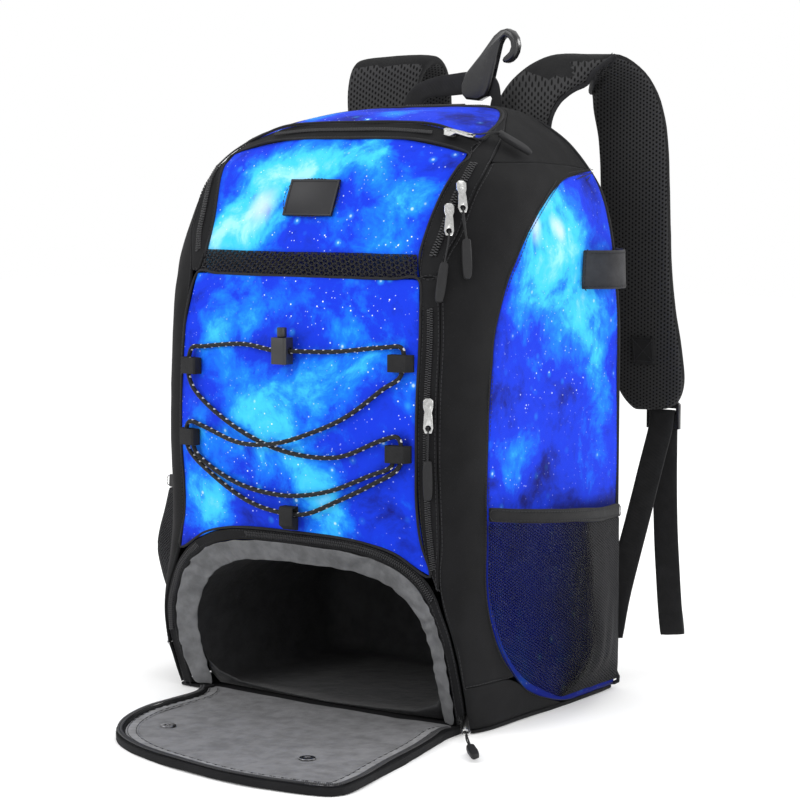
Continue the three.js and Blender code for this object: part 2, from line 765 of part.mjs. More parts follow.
// Front pocket: printed panel above the arch, zip band on the right, mesh gusset along its top.
function frontPocket() {
  const across = steps(10);
  const grid = steps(8).map((t) => across.map((a) => {
    const s = 2 * a - 1;
    const half = section(archRow + 0.4).frontHalf;
    const bottom = Math.max(archLift(s * half) + seamGap, wallFoot);
    const z = mix(bottom, pocketTop, t);
    const r = section(rowAtHeight(z));
    const clear = pocketPinch.depth * ease((pocketPinch.top - z) / pocketPinch.fade);
    return vec(s * (r.frontHalf - clear), r.frontY - r.panelBulge * (1 - s * s), z);
  }));
  add('pocket_front', coveredPanel(grid, pocketWall), 'print');
  const zipRows = bodyRows.filter((u) => u >= 3.2 && u <= zipStartRow);
  add('pocket_zip', wallPanel(zipRows, bandShare, () => 1, 2, pocketWall), 'zip');
  const top = section(rowAtHeight(pocketTop));
  const low = pocketTop + seamGap + meshWall;
  const high = pocketTop + meshRise;
  const behind = section(rowAtHeight(high - meshWall));
  const down = vec(0, 0.3, -1).normalize().multiplyScalar(meshWall);
  const outer = steps(2).map((t) => steps(8).map((a) => {
    const s = (2 * a - 1) * meshSpan;
    const near = vec(s * top.frontHalf, top.frontY - top.panelBulge * (1 - s * s), low);
    const far = vec(s * behind.frontHalf, behind.frontY - behind.panelBulge * (1 - s * s) - meshSetback, high);
    return near.lerp(far, t);
  }));
  add('pocket_mesh', slabGeometry(outer, outer.map((row) => row.map((p) => p.clone().add(down)))), 'mesh');
}

// Side pockets: a mesh shell that stands off the printed leaf, with a hem round its open top.
function sidePocketPoint(side, z, a, rise, lift) {
  const u = rowAtHeight(z);
  const w = mix(leafShare(u) - sidePocketTuck, cornerShare, a);
  const place = wallPoint(side === 'right' ? u : 2 * topRow - u, w);
  const stand = sidePocketBulge[side] * Math.sin(Math.PI * a ** sidePocketSpread[side]) * rise;
  place.x += (side === 'right' ? 1 : -1) * (meshClear + stand + lift);
  return place;
}

function sidePockets() {
  const across = steps(9);
  const lip = (a) => mix(sidePocketFront, sidePocketBack, a) - hemHeight;
  const { rise, taper } = sidePocketFill;
  const fill = (t) => Math.sin((Math.PI / 2) * Math.min(t / rise, 1)) * (1 - taper * t * t);
  for (const side of ['right', 'left']) {
    const layer = (lift) => steps(6).map((t) => across.map((a) =>
      sidePocketPoint(side, mix(sidePocketFoot, lip(a), t), a, fill(t), lift)));
    add(`side_pocket_${side}`, slabGeometry(layer(meshWall), layer(0)), 'mesh');
    const hem = (lift) => [seamGap, hemHeight].map((above) => across.map((a) =>
      sidePocketPoint(side, lip(a) + above, a, fill(1), lift)));
    add(`pocket_hem_${side}`, slabGeometry(hem(hemStand), hem(-hemLap)), 'cloth');
  }
}

// Bat straps: bands that loop out from the side wall near its rear edge.
// Columns: along the wall as a share of batStrapWidth, out as a share of batStrapReach.
const batStrapRows = [[0, 0], [0.07, 0.3], [0.2, 0.8], [0.36, 1], [0.52, 0.95], [0.7, 0.68], [0.88, 0.25], [1, 0]];
function batStraps() {
  const rearY = backReach - backCornerRadius - batStrapInset;
  for (const side of ['right', 'left']) {
    const sign = side === 'right' ? 1 : -1;
    const layer = (lift) => steps(14).map((t) => [-0.5, 0.5].map((h) => {
      const z = batStrapLevel + h * batStrapHeight;
      const u = rowAtHeight(z);
      const [along, out] = rowAt(batStrapRows, t * (batStrapRows.length - 1));
      const y = rearY - (1 - along) * batStrapWidth + lift * 2 * (along - 0.5);
      const wall = wallPoint(u, shareAtDepth(u, y)).x;
      return vec(sign * (wall + 2 * meshClear + out * batStrapReach + lift), y, z);
    }));
    add(`bat_strap_${side}`, slabGeometry(layer(webbingWall), layer(0)), 'webbing');
  }
}

// Band with a flat section swept through stations {point, across, out}.
function bandGeometry(stations, width, thickness) {
  return loftGeometry(stations.map((s) => {
    const a = s.across.clone().multiplyScalar((s.width ?? width) / 2);
    const n = s.out.clone().multiplyScalar((s.thickness ?? thickness) / 2);
    return [[-1, -1], [1, -1], [1, 1], [-1, 1]].map(([i, j]) =>
      s.point.clone().addScaledVector(a, i).addScaledVector(n, j));
  }));
}

// Shoulder strap routes seen from the bag's middle outward.
// Columns: x, y, z of the middle line, yaw and roll of its width in degrees, width, thickness.
const strapRoutes = {
  right: [
    [66, 96.6, 450, 0, 0, 58, 8],
    [66, 90, 487, -4, 2, 60, 10],
    [68, 94, 514, -8, 6, 62, 13],
    [73, 111, 534, -12, 12, 64, 13],
    [84, 130, 547, -14, 14, 66, 13],
    [102, 150, 554, -12, 10, 68, 13],
    [122, 162, 538, -6, 4, 70, 13],
    [135, 166, 505, 0, 0, 70, 13],
    [139, 168, 460, 0, 0, 70, 13],
    [140, 170, 400, 0, 0, 70, 13],
    [142, 173, 335, 0, 0, 74, 13],
    [146, 179, 290, 0, 0, 76, 13],
    [149, 186, 258, 0, 0, 66, 12],
    [150, 189.5, 243, 0, 0, 40, 9],
  ],
  left: [
    [82, 96.8, 450, 0, 0, 58, 8],
    [86, 91.5, 484, -3, 1, 61, 10],
    [96, 103, 517, -22, 4, 66, 13],
    [102, 118, 550, -30, 4, 70, 13],
    [105, 145, 561, -30, 4, 72, 13],
    [109, 170, 548, -26, 2, 74, 13],
    [117, 184, 505, -16, 0, 76, 13],
    [127, 186, 440, -6, 0, 76, 13],
    [136, 184, 370, 0, 0, 76, 13],
    [143, 183, 320, 0, 0, 76, 13],
    [148, 184, 287, 0, 0, 76, 13],
    [149, 187, 258, 0, 0, 66, 12],
    [150, 189.5, 243, 0, 0, 40, 9],
  ],
};
const degrees = Math.PI / 180;

function strapGeometry(rows, sign) {
  const last = rows.length - 1;
  const place = (t) => {
    const [x, y, z] = rowAt(rows, t);
    return vec(sign * x, y, z);
  };
  const rings = steps(21).map((step) => {
    const t = step * last;
    const [, , , yaw, roll, width, thickness] = rowAt(rows, t);
    const along = place(Math.min(t + 0.1, last)).sub(place(Math.max(t - 0.1, 0))).normalize();
    const across = vec(
      sign * Math.cos(yaw * degrees) * Math.cos(roll * degrees),
      Math.sin(yaw * degrees) * Math.cos(roll * degrees),
      -Math.sin(roll * degrees),
    );
    across.addScaledVector(along, -across.dot(along)).normalize();
    const out = along.clone().cross(across).normalize();
    const { side, flat } = strapEdge;
    const outline = [[-1, -side], [-flat, -1], [flat, -1], [1, -side], [1, side], [flat, 1], [-flat, 1], [-1, side]];
    return outline.map(([i, j]) => place(t)
      .addScaledVector(across, (i * width) / 2)
      .addScaledVector(out, (j * thickness) / 2));
  });
  return loftGeometry(rings);
}

// Ladder lock under the strap end, and the webbing from the base corner over its bar to the free tail.
// Columns: x, y, z of the webbing's middle line.
const lockPlace = { x: 155, y: 197, z: 237.3 };
const webbingRoute = [
  [153, 109.4, 44], [152, 122, 80], [152, 155, 140], [153, 182, 200], [155, 193.1, 226], [155, 193.5, 236],
  [155, 194.7, 240.2], [155, 197, 241.2], [155, 199.3, 240.2], [155, 200.5, 236], [154.5, 201.2, 220],
  [153.5, 203, 180], [154, 205, 120], [158, 206, 62], [159.4, 206, 52], [159.6, 206, 50], [162, 206, 32],
];

function carryStraps() {
  for (const side of ['right', 'left']) {
    const sign = side === 'right' ? 1 : -1;
    add(`shoulder_strap_${side}`, strapGeometry(strapRoutes[side], sign), 'cloth');
    const points = webbingRoute.map(([x, y, z]) => vec(sign * x, y, z));
    const stations = points.map((point, i) => {
      const along = points[Math.min(i + 1, points.length - 1)].clone().sub(points[Math.max(i - 1, 0)]).normalize();
      const across = vec(1, 0, 0).addScaledVector(along, -along.x).normalize();
      const folded = i >= points.length - 2;
      return { point, across, out: along.clone().cross(across), thickness: folded ? foldedWebbing : webbingWall };
    });
    add(`strap_webbing_${side}`, bandGeometry(stations, webbingWidth, webbingWall), 'webbing');
    const half = ladderLock.width / 2;
    const top = ladderLock.height / 2;
    const shoulder = top - ladderLock.chamfer;
    const crown = half - ladderLock.corner;
    const frame = outlineShape([
      [-half, -top], [half, -top], [half, shoulder], [crown, top], [-crown, top], [-half, shoulder],
    ]);
    const slot = webbingWidth / 2 + ladderSlot.side;
    const { low, high } = ladderSlot;
    frame.holes.push(outlinePath([[-slot, low], [-slot, high], [slot, high], [slot, low]]));
    const lock = new THREE.ExtrudeGeometry(frame, { depth: ladderLock.thickness, bevelEnabled: false });
    lock.rotateX(Math.PI / 2).translate(sign * lockPlace.x, lockPlace.y + ladderLock.thickness / 2, lockPlace.z);
    add(`ladder_lock_${side}`, lock, 'plastic');
  }
}

// Carry handle: a flat band with a top and a bottom edge, out of the back seam and through the hook.
// Columns: x of the top edge and its height over the bag, then the same for the bottom edge.
const handleRows = [
  [-52, -2.8, -32, -1.4],
  [-47, 12, -28, 5],
  [-34, 21, -21, 8],
  [-14, 26.5, -9, 8.5],
  [8, 29, 9, 9.5],
  [20, 30, 20, 10],
  [42, 29, 40, 10],
  [52, 21, 46, 6],
  [55, 10, 45, 3.5],
  [56, -3, 44, -1.9],
];

// Outline of the fence hook over its base. Columns: x and z.
const hookRows = [
  [-9, 0], [-15, 8], [-10.2, 22.5], [1.7, 34.3], [13.3, 47.2], [23.3, 57.8], [33.5, 61.5], [42, 57.5], [46, 47.2],
  [44, 38.5], [39, 33], [33, 31], [29.5, 33], [31, 36.6], [36, 40], [38.6, 46], [36.5, 52], [32, 54], [28, 50],
  [24.9, 40.4], [20.4, 23.9], [16, 9], [10, 0],
];

function handleAndHook() {
  const thick = webbingWall / 2;
  const rings = steps(18).map((step) => {
    const [ax, az, bx, bz] = rowAt(handleRows, step * (handleRows.length - 1));
    return [[ax, -thick, az], [bx, -thick, bz], [bx, thick, bz], [ax, thick, az]]
      .map(([x, y, z]) => vec(x, handleY + y, bagHeight + z));
  });
  add('carry_handle', loftGeometry(rings), 'webbing');
  const curve = new THREE.CatmullRomCurve3(hookRows.map(([x, z]) => vec(x, z, 0)), true, 'centripetal');
  const shape = outlineShape(curve.getPoints(34).slice(0, -1).map((p) => [p.x, p.y]));
  const body = new THREE.ExtrudeGeometry(shape, {
    depth: hookThickness - 2 * hookBevel,
    bevelThickness: hookBevel,
    bevelSize: hookBevel,
    bevelOffset: -hookBevel,
    bevelSegments: 1,
  });
  body.translate(0, 0, hookBevel - hookThickness / 2).rotateX(Math.PI / 2);
  const { height, low, clear } = hookTunnel;
  const tunnel = new THREE.BoxGeometry(halfWidth, webbingWall + clear, height).translate(0, 0, low + height / 2);
  const cut = fromManifold(toManifold(body).subtract(toManifold(tunnel)));
  add('fence_hook', cut.translate(hookX, handleY, bagHeight + hookStand), 'plastic');
}

// Depth of the printed pocket face at x, z.
const pocketDepth = (x, z) => faceDepth(x, Math.min(z, pocketTop));

// Bungee cord: one long elastic from the barrel lock through the tabs and back, plus a short one below.
// Columns: across as a share of cordHalf, height as a share of pocketTop, and how far the cord's
// middle stands off the pocket face.
const cordHalf = wallRows[6][4] * halfWidth;
const bungeeRoute = [
  [-0.040, 0.8360, 7.5], [-0.112, 0.8360, 7.3], [-0.400, 0.8441, 3], [-0.752, 0.8333, 3.4],
  [-0.880, 0.8239, 5], [-0.880, 0.7594, 5], [-0.736, 0.7097, 3.4], [-0.360, 0.6478, 3],
  [0.040, 0.6102, 3], [0.440, 0.6075, 3], [0.768, 0.6505, 3.4], [0.904, 0.6573, 5], [0.904, 0.5954, 5],
  [0.688, 0.5511, 3.4], [0.400, 0.5054, 3], [0.160, 0.4731, 5.4], [-0.096, 0.4731, 5.4],
  [-0.368, 0.4919, 3], [-0.672, 0.5430, 3.4], [-0.880, 0.5954, 5], [-0.880, 0.6559, 5],
  [-0.704, 0.6478, 3.4], [-0.352, 0.6237, 7.8], [-0.032, 0.6290, 7.8], [0.272, 0.6613, 3.4],
  [0.528, 0.7016, 3], [0.768, 0.7608, 3.4], [0.904, 0.7930, 5], [0.904, 0.8508, 5], [0.752, 0.8522, 3.4],
  [0.400, 0.8387, 3], [0.112, 0.8360, 7.3], [0.040, 0.8360, 7.5],
];
const lowerRoute = [
  [-0.820, 0.6398, 5], [-0.820, 0.5968, 5], [-0.704, 0.5645, 3.4], [-0.384, 0.5242, 3],
  [0.000, 0.5108, 3], [0.360, 0.5296, 3], [0.688, 0.5726, 3.4], [0.851, 0.5968, 5], [0.851, 0.6398, 5],
];

function tubeGeometry(points, radius, sides, count) {
  const circle = new THREE.Shape(steps(sides).slice(0, -1).map((t) =>
    new THREE.Vector2(Math.cos(2 * Math.PI * t) * radius, Math.sin(2 * Math.PI * t) * radius)));
  const curve = new THREE.CatmullRomCurve3(points, false, 'centripetal');
  return new THREE.ExtrudeGeometry(circle, { steps: count, extrudePath: curve, bevelEnabled: false });
}

function onPocket(route, count) {
  return steps(count).map((t) => {
    const [across, height, lift] = rowAt(route, t * (route.length - 1));
    const x = across * cordHalf;
    const z = height * pocketTop;
    return vec(x, pocketDepth(x, z) - lift, z);
  });
}

// Cord tabs: a loop of webbing with an eye for two runs of cord.
function tabGeometry(reach, eyeReach) {
  const outline = outlineShape([
    [0, tabFloor], [reach, tabFloor], [reach, tabDepth - tabWall], [reach - tabWall, tabDepth], [4, tabDepth], [0, 3],
  ]);
  const low = tabFloor + tabWall;
  const high = tabDepth - tabWall;
  const near = reach - eyeReach;
  const far = reach - tabWall;
  outline.holes.push(outlinePath([[near, low], [near, high], [far, high], [far, low]]));
  return new THREE.ExtrudeGeometry(outline, { depth: tabHeight, bevelEnabled: false })
    .translate(0, 0, -tabHeight / 2);
}

// Places of the side tabs. Columns: across as a share of cordHalf, height as a share of pocketTop.
const tabPlaces = {
  cord_tab_upper_right: [0.9755, 0.8199],
  cord_tab_lower_right: [0.9755, 0.6237],
  cord_tab_upper_left: [-0.9515, 0.7876],
  cord_tab_lower_left: [-0.9515, 0.6237],
};
const sideTab = { length: tabReach + 3, eye: 16 };
const bottomTab = { length: 20, eye: 9, x: 4, foot: 0.4341, face: 0.4812 };

function bungee() {
  add('bungee_cord', tubeGeometry(onPocket(bungeeRoute, 96), cordRadius, 8, 64), 'cord');
  add('bungee_cord_lower', tubeGeometry(onPocket(lowerRoute, 26), cordRadius, 8, 16), 'cord');
  for (const [name, [across, height]] of Object.entries(tabPlaces)) {
    const geometry = tabGeometry(sideTab.length, sideTab.eye);
    const x = across * cordHalf;
    const z = height * pocketTop;
    const eyeX = x - Math.sign(x) * tabReach;
    const root = vec(x, pocketDepth(x, z) - tabStand, z);
    const along = vec(eyeX, pocketDepth(eyeX, z) - tabStand, z).sub(root).normalize();
    const out = vec(0, -1, 0).addScaledVector(along, along.y).normalize();
    geometry.applyMatrix4(new THREE.Matrix4().makeBasis(along, out, along.clone().cross(out)).setPosition(root));
    add(name, geometry, 'webbing');
  }
  const bottom = tabGeometry(bottomTab.length, bottomTab.eye);
  bottom.applyMatrix4(new THREE.Matrix4().makeBasis(vec(0, 0, 1), vec(0, -1, 0), vec(1, 0, 0)));
  const bottomY = pocketDepth(bottomTab.x, bottomTab.face * pocketTop) - tabStand;
  add('cord_tab_bottom', bottom.translate(bottomTab.x, bottomY, bottomTab.foot * pocketTop), 'webbing');
  cordLock();
}

// Barrel lock on the cord's two ends, with its plunger on top.
function cordLock() {
  const { width, height, depth, chamfer } = lockBarrel;
  const half = width / 2;
  const flat = half - chamfer;
  const body = new THREE.ExtrudeGeometry(outlineShape([
    [-half, chamfer], [-flat, 0], [flat, 0], [half, chamfer],
    [half, depth - chamfer], [flat, depth], [-flat, depth], [-half, depth - chamfer],
  ]), { depth: height, bevelEnabled: false });
  const bore = new THREE.CylinderGeometry(boreRadius, boreRadius, width * 2, 10).rotateZ(Math.PI / 2);
  bore.translate(0, lockBore, height / 2);
  const cut = fromManifold(toManifold(body).subtract(toManifold(bore)));
  cut.applyMatrix4(new THREE.Matrix4().makeBasis(vec(-1, 0, 0), vec(0, -1, 0), vec(0, 0, 1)));
  const level = lockLevel * pocketTop;
  const lockY = pocketDepth(0, level - height / 2) - lockStand;
  add('cord_lock', cut.translate(0, lockY, level - height / 2), 'plastic');
  const button = new THREE.CylinderGeometry(plunger.radius, plunger.radius, plunger.length, 10).rotateX(Math.PI / 2);
  const buttonZ = level + height / 2 + seamGap + plunger.length / 2;
  add('cord_lock_plunger', button.translate(0, lockY - depth / 2, buttonZ), 'plastic');
}

// Label patch: a blank rubber plate with a raised rim, low on the upper front panel.
function label() {
  const u = rowAtHeight(labelZ);
  const s = labelX / section(u).frontHalf;
  const centre = facePoint(u, s);
  const acrossDir = facePoint(u, s + 0.05).sub(facePoint(u, s - 0.05)).normalize();
  const upDir = facePoint(u + 0.1, s).sub(facePoint(u - 0.1, s)).normalize();
  const out = acrossDir.clone().cross(upDir).normalize();
  const corners = (inset) => {
    const w = labelWidth / 2 - inset;
    const h = labelHeight / 2 - inset;
    return [[-w, -h], [w, -h], [w, h], [-w, h]];
  };
  const base = new THREE.ExtrudeGeometry(outlineShape(corners(0)), { depth: labelThickness, bevelEnabled: false });
  const rim = outlineShape(corners(0));
  rim.holes.push(outlinePath(corners(labelRim).reverse()));
  const edge = new THREE.ExtrudeGeometry(rim, { depth: labelThickness + labelRimRise, bevelEnabled: false });
  const geometry = joined(base, edge);
  geometry.applyMatrix4(new THREE.Matrix4().makeBasis(acrossDir, upDir, out));
  add('label_patch', geometry.translate(...centre.addScaledVector(out, labelStand).toArray()), 'rubber');
}

// Zip pulls: slider with its tab, then a cord loop that ends in a rubber grip.
function pull(name, points, normals, cordLength = pullCord) {
  const curve = new THREE.CatmullRomCurve3(points, false, 'centripetal');
  const length = curve.getLength();
  const at = (d) => curve.getPointAt(clamp(d / length, 0, 1));
  const normalAt = (d) => {
    const t = clamp(d / length, 0, 1) * (normals.length - 1);
    const i = Math.min(Math.floor(t), normals.length - 2);
    return normals[i].clone().lerp(normals[i + 1], t - i).normalize();
  };
  const frame = (from, to) => {
    const along = at(to).sub(at(from)).normalize();
    const out = normalAt((from + to) / 2);
    const side = along.clone().cross(out).normalize();
    return new THREE.Matrix4().makeBasis(side, along, side.clone().cross(along)).setPosition(at(from));
  };
  const half = sliderWidth / 2;
  const outline = outlineShape([
    [-half, 0], [-half, 5], [-half * 0.6, sliderLength], [half * 0.6, sliderLength],
    [half, 5], [half, 0], [half * 0.5, -2], [-half * 0.5, -2],
  ]);
  const slider = new THREE.ExtrudeGeometry(outline, { depth: sliderDepth, bevelEnabled: false })
    .translate(0, 0, sliderStand);
  const tip = pullTab + tabTip;
  const tabShape = outlineShape([
    [-2, 4], [-3.4, 12], [-4, pullTab], [-2.6, tip], [2.6, tip], [4, pullTab], [3.4, 12], [2, 4],
  ]);
  tabShape.holes.push(new THREE.Path(circlePoints(0, pullTab, tabEye, 8)));
  const tab = new THREE.ExtrudeGeometry(tabShape, { depth: tabThickness, bevelEnabled: false })
    .translate(0, 0, tabLevel);
  add(`zip_slider_${name}`, joined(slider, tab).applyMatrix4(frame(0, pullTab)), 'steel');
  const place = (d, x, lift) => {
    const m = frame(Math.max(d - 3, 0), Math.min(d + 3, length));
    return vec(x, Math.min(d, 3), lift).applyMatrix4(m);
  };
  const start = frame(0, pullTab);
  const near = [[0, 7, 2.3], [0, 1.4, 2], [0, -1, 0], [0, 1.4, -2], [0, 7, -2.1]]
    .map(([x, y, z]) => vec(x, pullTab + y, tabLevel + tabThickness / 2 + z).applyMatrix4(start));
  const end = pullTab + cordLength;
  const front = [place(end + 3, 0, 4.6), place(end - 6, 0, 5)];
  const back = [place(end - 6, 0, 2.9), place(end + 3, 0, 3.2)];
  const cord = tubeGeometry([...front, ...near, ...back], pullCordRadius, 5, 12);
  const gripShape = outlineShape([
    [-3.2, 0], [-4, 3], [-4, pullGrip - 3], [-2.4, pullGrip], [2.4, pullGrip], [4, pullGrip - 3], [4, 3], [3.2, 0],
  ]);
  const grip = new THREE.ExtrudeGeometry(gripShape, { depth: gripDepth, bevelEnabled: false })
    .translate(0, 0, gripLevel);
  grip.applyMatrix4(frame(end, end + pullGrip));
  add(`zip_cord_${name}`, joined(cord, grip), 'rubber');
}

// Pull routes on the side wall, from the slider down to the end of the grip.
// Columns: row position, share across the wall, and how far the route stands off it.
const pullRoutes = {
  main_upper: [[12.22, 0.91, 2.1], [11.455, 0.86, 1.6], [10.455, 0.796, 1.2], [9.27, 0.744, 0.85]],
  main_lower: [[11.575, 0.929, 2.15], [10.9, 0.894, 1.8], [9.885, 0.875, 0.95], [8.715, 0.891, 1.3]],
  pocket: [[7.02, 0.913, -0.1], [6.625, 0.908, -0.2], [5.91, 0.913, -0.05], [5.29, 0.917, -0.6]],
  brow: [[13.9, 0.721, 3.05], [13.51, 0.592, 2.8], [13.035, 0.457, 2.3], [12.495, 0.391, 1.85]],
};

// The brow zip's slider sits on the brow, at shares of its half width.
const browShares = [0.78, 0.92];
const browPullRow = 13.72;

// The shoe zip's pull leaves the foot of the right wall and lies on the floor.
// Columns: right and forward of the front seam, and height over the floor.
const floorPullRow = 0.35;
const floorRoute = [[-1.8, 3.5, 12], [9, 16.9, 4.5], [35, 46.9, 1.2], [65, 80.9, 1], [85, 103.9, 1]];

function zipPulls() {
  for (const [name, rows] of Object.entries(pullRoutes)) {
    const onWall = rows.map(([u, w, lift]) => {
      const p = wallPoint(u, w);
      return p.addScaledVector(inward(p), -lift);
    });
    const onBrow = name === 'brow' ? browShares.map((s) => facePoint(browPullRow, s)) : [];
    const points = [...onBrow, ...onWall];
    const normals = points.map((p) => inward(p).negate());
    pull(name, points.map((p, i) => p.addScaledVector(normals[i], pullClear)), normals);
  }
  const foot = wallPoint(floorPullRow, 1);
  const points = floorRoute.map(([right, forward, z]) => vec(foot.x + right, foot.y - forward, z));
  const up = points.map((_, i) => vec(0.5, -0.5, 0.6).lerp(vec(0, 0, 1), Math.min(i / 2, 1)).normalize());
  pull('shoe', points, up, floorCord);
}

basePanel();
backPanel();
sidePanels();
mainZip();
frontPanel();
shoeCompartment();
shoeFlap();
frontPocket();
sidePockets();
batStraps();
carryStraps();
handleAndHook();
bungee();
label();
zipPulls();

export default bag;
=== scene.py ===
import math

import bmesh
import bpy
from mathutils import Matrix, Vector, noise
from mathutils.bvhtree import BVHTree


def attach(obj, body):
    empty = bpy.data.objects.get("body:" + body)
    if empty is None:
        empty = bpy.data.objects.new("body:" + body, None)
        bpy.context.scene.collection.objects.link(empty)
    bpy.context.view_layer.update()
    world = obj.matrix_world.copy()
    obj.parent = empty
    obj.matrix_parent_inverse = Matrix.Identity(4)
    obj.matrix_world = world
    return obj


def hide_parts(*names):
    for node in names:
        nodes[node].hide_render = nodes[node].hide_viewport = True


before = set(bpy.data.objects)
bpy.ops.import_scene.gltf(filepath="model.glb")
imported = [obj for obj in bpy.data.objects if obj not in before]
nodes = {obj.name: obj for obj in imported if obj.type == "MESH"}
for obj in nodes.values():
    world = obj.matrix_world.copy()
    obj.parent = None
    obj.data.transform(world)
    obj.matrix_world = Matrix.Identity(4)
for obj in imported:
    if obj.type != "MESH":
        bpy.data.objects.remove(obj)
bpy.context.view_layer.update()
# The offsets of noise_vector change from run to run unless they get a seed.
noise.seed_set(7)
print("frame loaded")

mm = 0.001
black = (0.0075, 0.0075, 0.0082, 1)
middle = Vector((0, 0, 0.25))


# The view of the photograph: a long lens, a little above the bag, off its right front corner.
view = {"azimuth": 36.0, "pitch": 5.6, "distance": 2.063, "aim": Vector((0, 0, 0.257)), "lens": 104.9}


def setCamera():
    turn, rise = math.radians(view["azimuth"]), math.radians(view["pitch"])
    away = Vector((math.sin(turn) * math.cos(rise), -math.cos(turn) * math.cos(rise), math.sin(rise)))
    camera = bpy.data.objects.new("camera", bpy.data.cameras.new("camera"))
    camera.data.lens = view["lens"]
    camera.data.clip_end = 20
    camera.location = view["aim"] + away * view["distance"]
    camera.rotation_euler = (-away).to_track_quat("-Z", "Y").to_euler()
    bpy.context.collection.objects.link(camera)
    bpy.context.scene.camera = camera


# Soft studio light: a big key high on the left, a fill on the right, one overhead, one low behind.
lamps = {
    "key": {"at": (-1.1, -2.2, 1.7), "size": 1.4, "watts": 26},
    "fill": {"at": (2.4, -1.0, 0.9), "size": 1.4, "watts": 13},
    "over": {"at": (0.2, 0.2, 2.4), "size": 1.6, "watts": 12},
    "rim": {"at": (1.5, 2.2, 1.2), "size": 0.8, "watts": 22},
}


def setLights():
    for name, lamp in lamps.items():
        light = bpy.data.lights.new(name, "AREA")
        light.energy = lamp["watts"]
        light.size = lamp["size"]
        holder = bpy.data.objects.new(name, light)
        holder.location = lamp["at"]
        toward = middle - holder.location
        holder.rotation_euler = toward.to_track_quat("-Z", "Y").to_euler()
        bpy.context.collection.objects.link(holder)
    world = bpy.data.worlds.new("studio")
    world.use_nodes = True
    world.node_tree.nodes["Background"].inputs["Color"].default_value = (1, 1, 1, 1)
    world.node_tree.nodes["Background"].inputs["Strength"].default_value = 1.0
    bpy.context.scene.world = world
    bpy.context.scene.view_settings.view_transform = "Standard"


setCamera()
setLights()


# One socket of a shader, so that shader maths can be written as expressions.
class Sock:
    def __init__(self, graph, socket):
        self.graph, self.socket = graph, socket

    def __add__(self, other):
        return self.graph.maths("ADD", self, other)

    def __sub__(self, other):
        return self.graph.maths("SUBTRACT", self, other)

    def __mul__(self, other):
        return self.graph.maths("MULTIPLY", self, other)

    def __truediv__(self, other):
        return self.graph.maths("DIVIDE", self, other)

    def __rsub__(self, other):
        return self.graph.maths("SUBTRACT", other, self)

    def __neg__(self):
        return self.graph.maths("MULTIPLY", self, -1.0)

    __radd__ = __add__
    __rmul__ = __mul__


# The nodes of one material, measured in the piece's own space.
class Graph:
    def __init__(self, name, constants):
        self.material = bpy.data.materials.new(name)
        self.material.use_nodes = True
        self.tree = self.material.node_tree
        self.shader = self.tree.nodes["Principled BSDF"]
        for socket, value in constants.items():
            self.shader.inputs[socket].default_value = value
        self.place = self.node("ShaderNodeTexCoord", out="Object")

    def node(self, kind, settings=None, values=None, out=0):
        made = self.tree.nodes.new(kind)
        for key, value in (settings or {}).items():
            setattr(made, key, value)
        for key, value in (values or {}).items():
            if isinstance(value, Sock):
                self.tree.links.new(value.socket, made.inputs[key])
            elif value is not None:
                made.inputs[key].default_value = value
        return Sock(self, made.outputs[out])

    def maths(self, name, a, b=None):
        return self.node("ShaderNodeMath", {"operation": name}, {0: a, 1: b})

    def vector(self, name, a, b=None, out=0):
        return self.node("ShaderNodeVectorMath", {"operation": name}, {0: a, 1: b}, out)

    def scaled(self, a, by):
        return self.node("ShaderNodeVectorMath", {"operation": "SCALE"}, {0: a, "Scale": by})

    def distance(self, a, b):
        return self.vector("DISTANCE", a, b, "Value")

    def mix(self, amount, a, b):
        return self.node("ShaderNodeMix", {"data_type": "RGBA"}, {0: amount, 6: a, 7: b}, 2)

    def step(self, value, low, high, start=0.0, end=1.0):
        values = {"Value": value, "From Min": low, "From Max": high, "To Min": start, "To Max": end}
        return self.node("ShaderNodeMapRange", {"interpolation_type": "SMOOTHSTEP"}, values)

    def noise(self, scale, detail=2.0, rough=0.5, at=None, out="Fac"):
        values = {"Vector": at or self.place, "Scale": scale, "Detail": detail, "Roughness": rough}
        return self.node("ShaderNodeTexNoise", None, values, out)

    def cells(self, scale):
        values = {"Vector": self.place, "Scale": scale}
        return self.node("ShaderNodeTexVoronoi", None, values, "Distance")

    def split(self, at=None):
        made = self.tree.nodes.new("ShaderNodeSeparateXYZ")
        self.tree.links.new((at or self.place).socket, made.inputs[0])
        return [Sock(self, made.outputs[axis]) for axis in range(3)]

    def wave(self, value, pitch):
        return self.maths("COSINE", value * (2 * math.pi / pitch))

    def bump(self, height, distance, strength=1.0, under=None):
        values = {"Height": height, "Distance": distance, "Strength": strength, "Normal": under}
        return self.node("ShaderNodeBump", None, values)

    def surface(self, **inputs):
        names = {"color": "Base Color", "rough": "Roughness", "normal": "Normal", "alpha": "Alpha"}
        for key, value in inputs.items():
            self.tree.links.new(value.socket, self.shader.inputs[names[key]])
        return self.material


# The base colour made darker or lighter.
def tinted(base, factor, lift=0.0):
    return tuple(c * factor + lift for c in base[:3]) + (1,)


def weave(graph, pitch):
    x, y, z = graph.split()
    return graph.wave(x + y, pitch) * graph.wave(z + y * 0.5, pitch)


# Three waves at sixty degrees to each other, which peak in a honeycomb.
hexRise = 0.866


def honeycomb(graph, along, up, pitch):
    lean = up * hexRise
    return (
        graph.wave(along, pitch)
        + graph.wave(along * 0.5 + lean, pitch)
        + graph.wave(along * 0.5 - lean, pitch)
    )


# Cloth of one colour: a fine weave, soft mottling and a few pale fibres. Scales are per metre.
clothLook = {
    "mottle": 26,
    "fibre": 900,
    "fibreShare": 0.5,
    "wear": 60,
    "fold": 34,
    "foldDepth": 1.2 * mm,
}


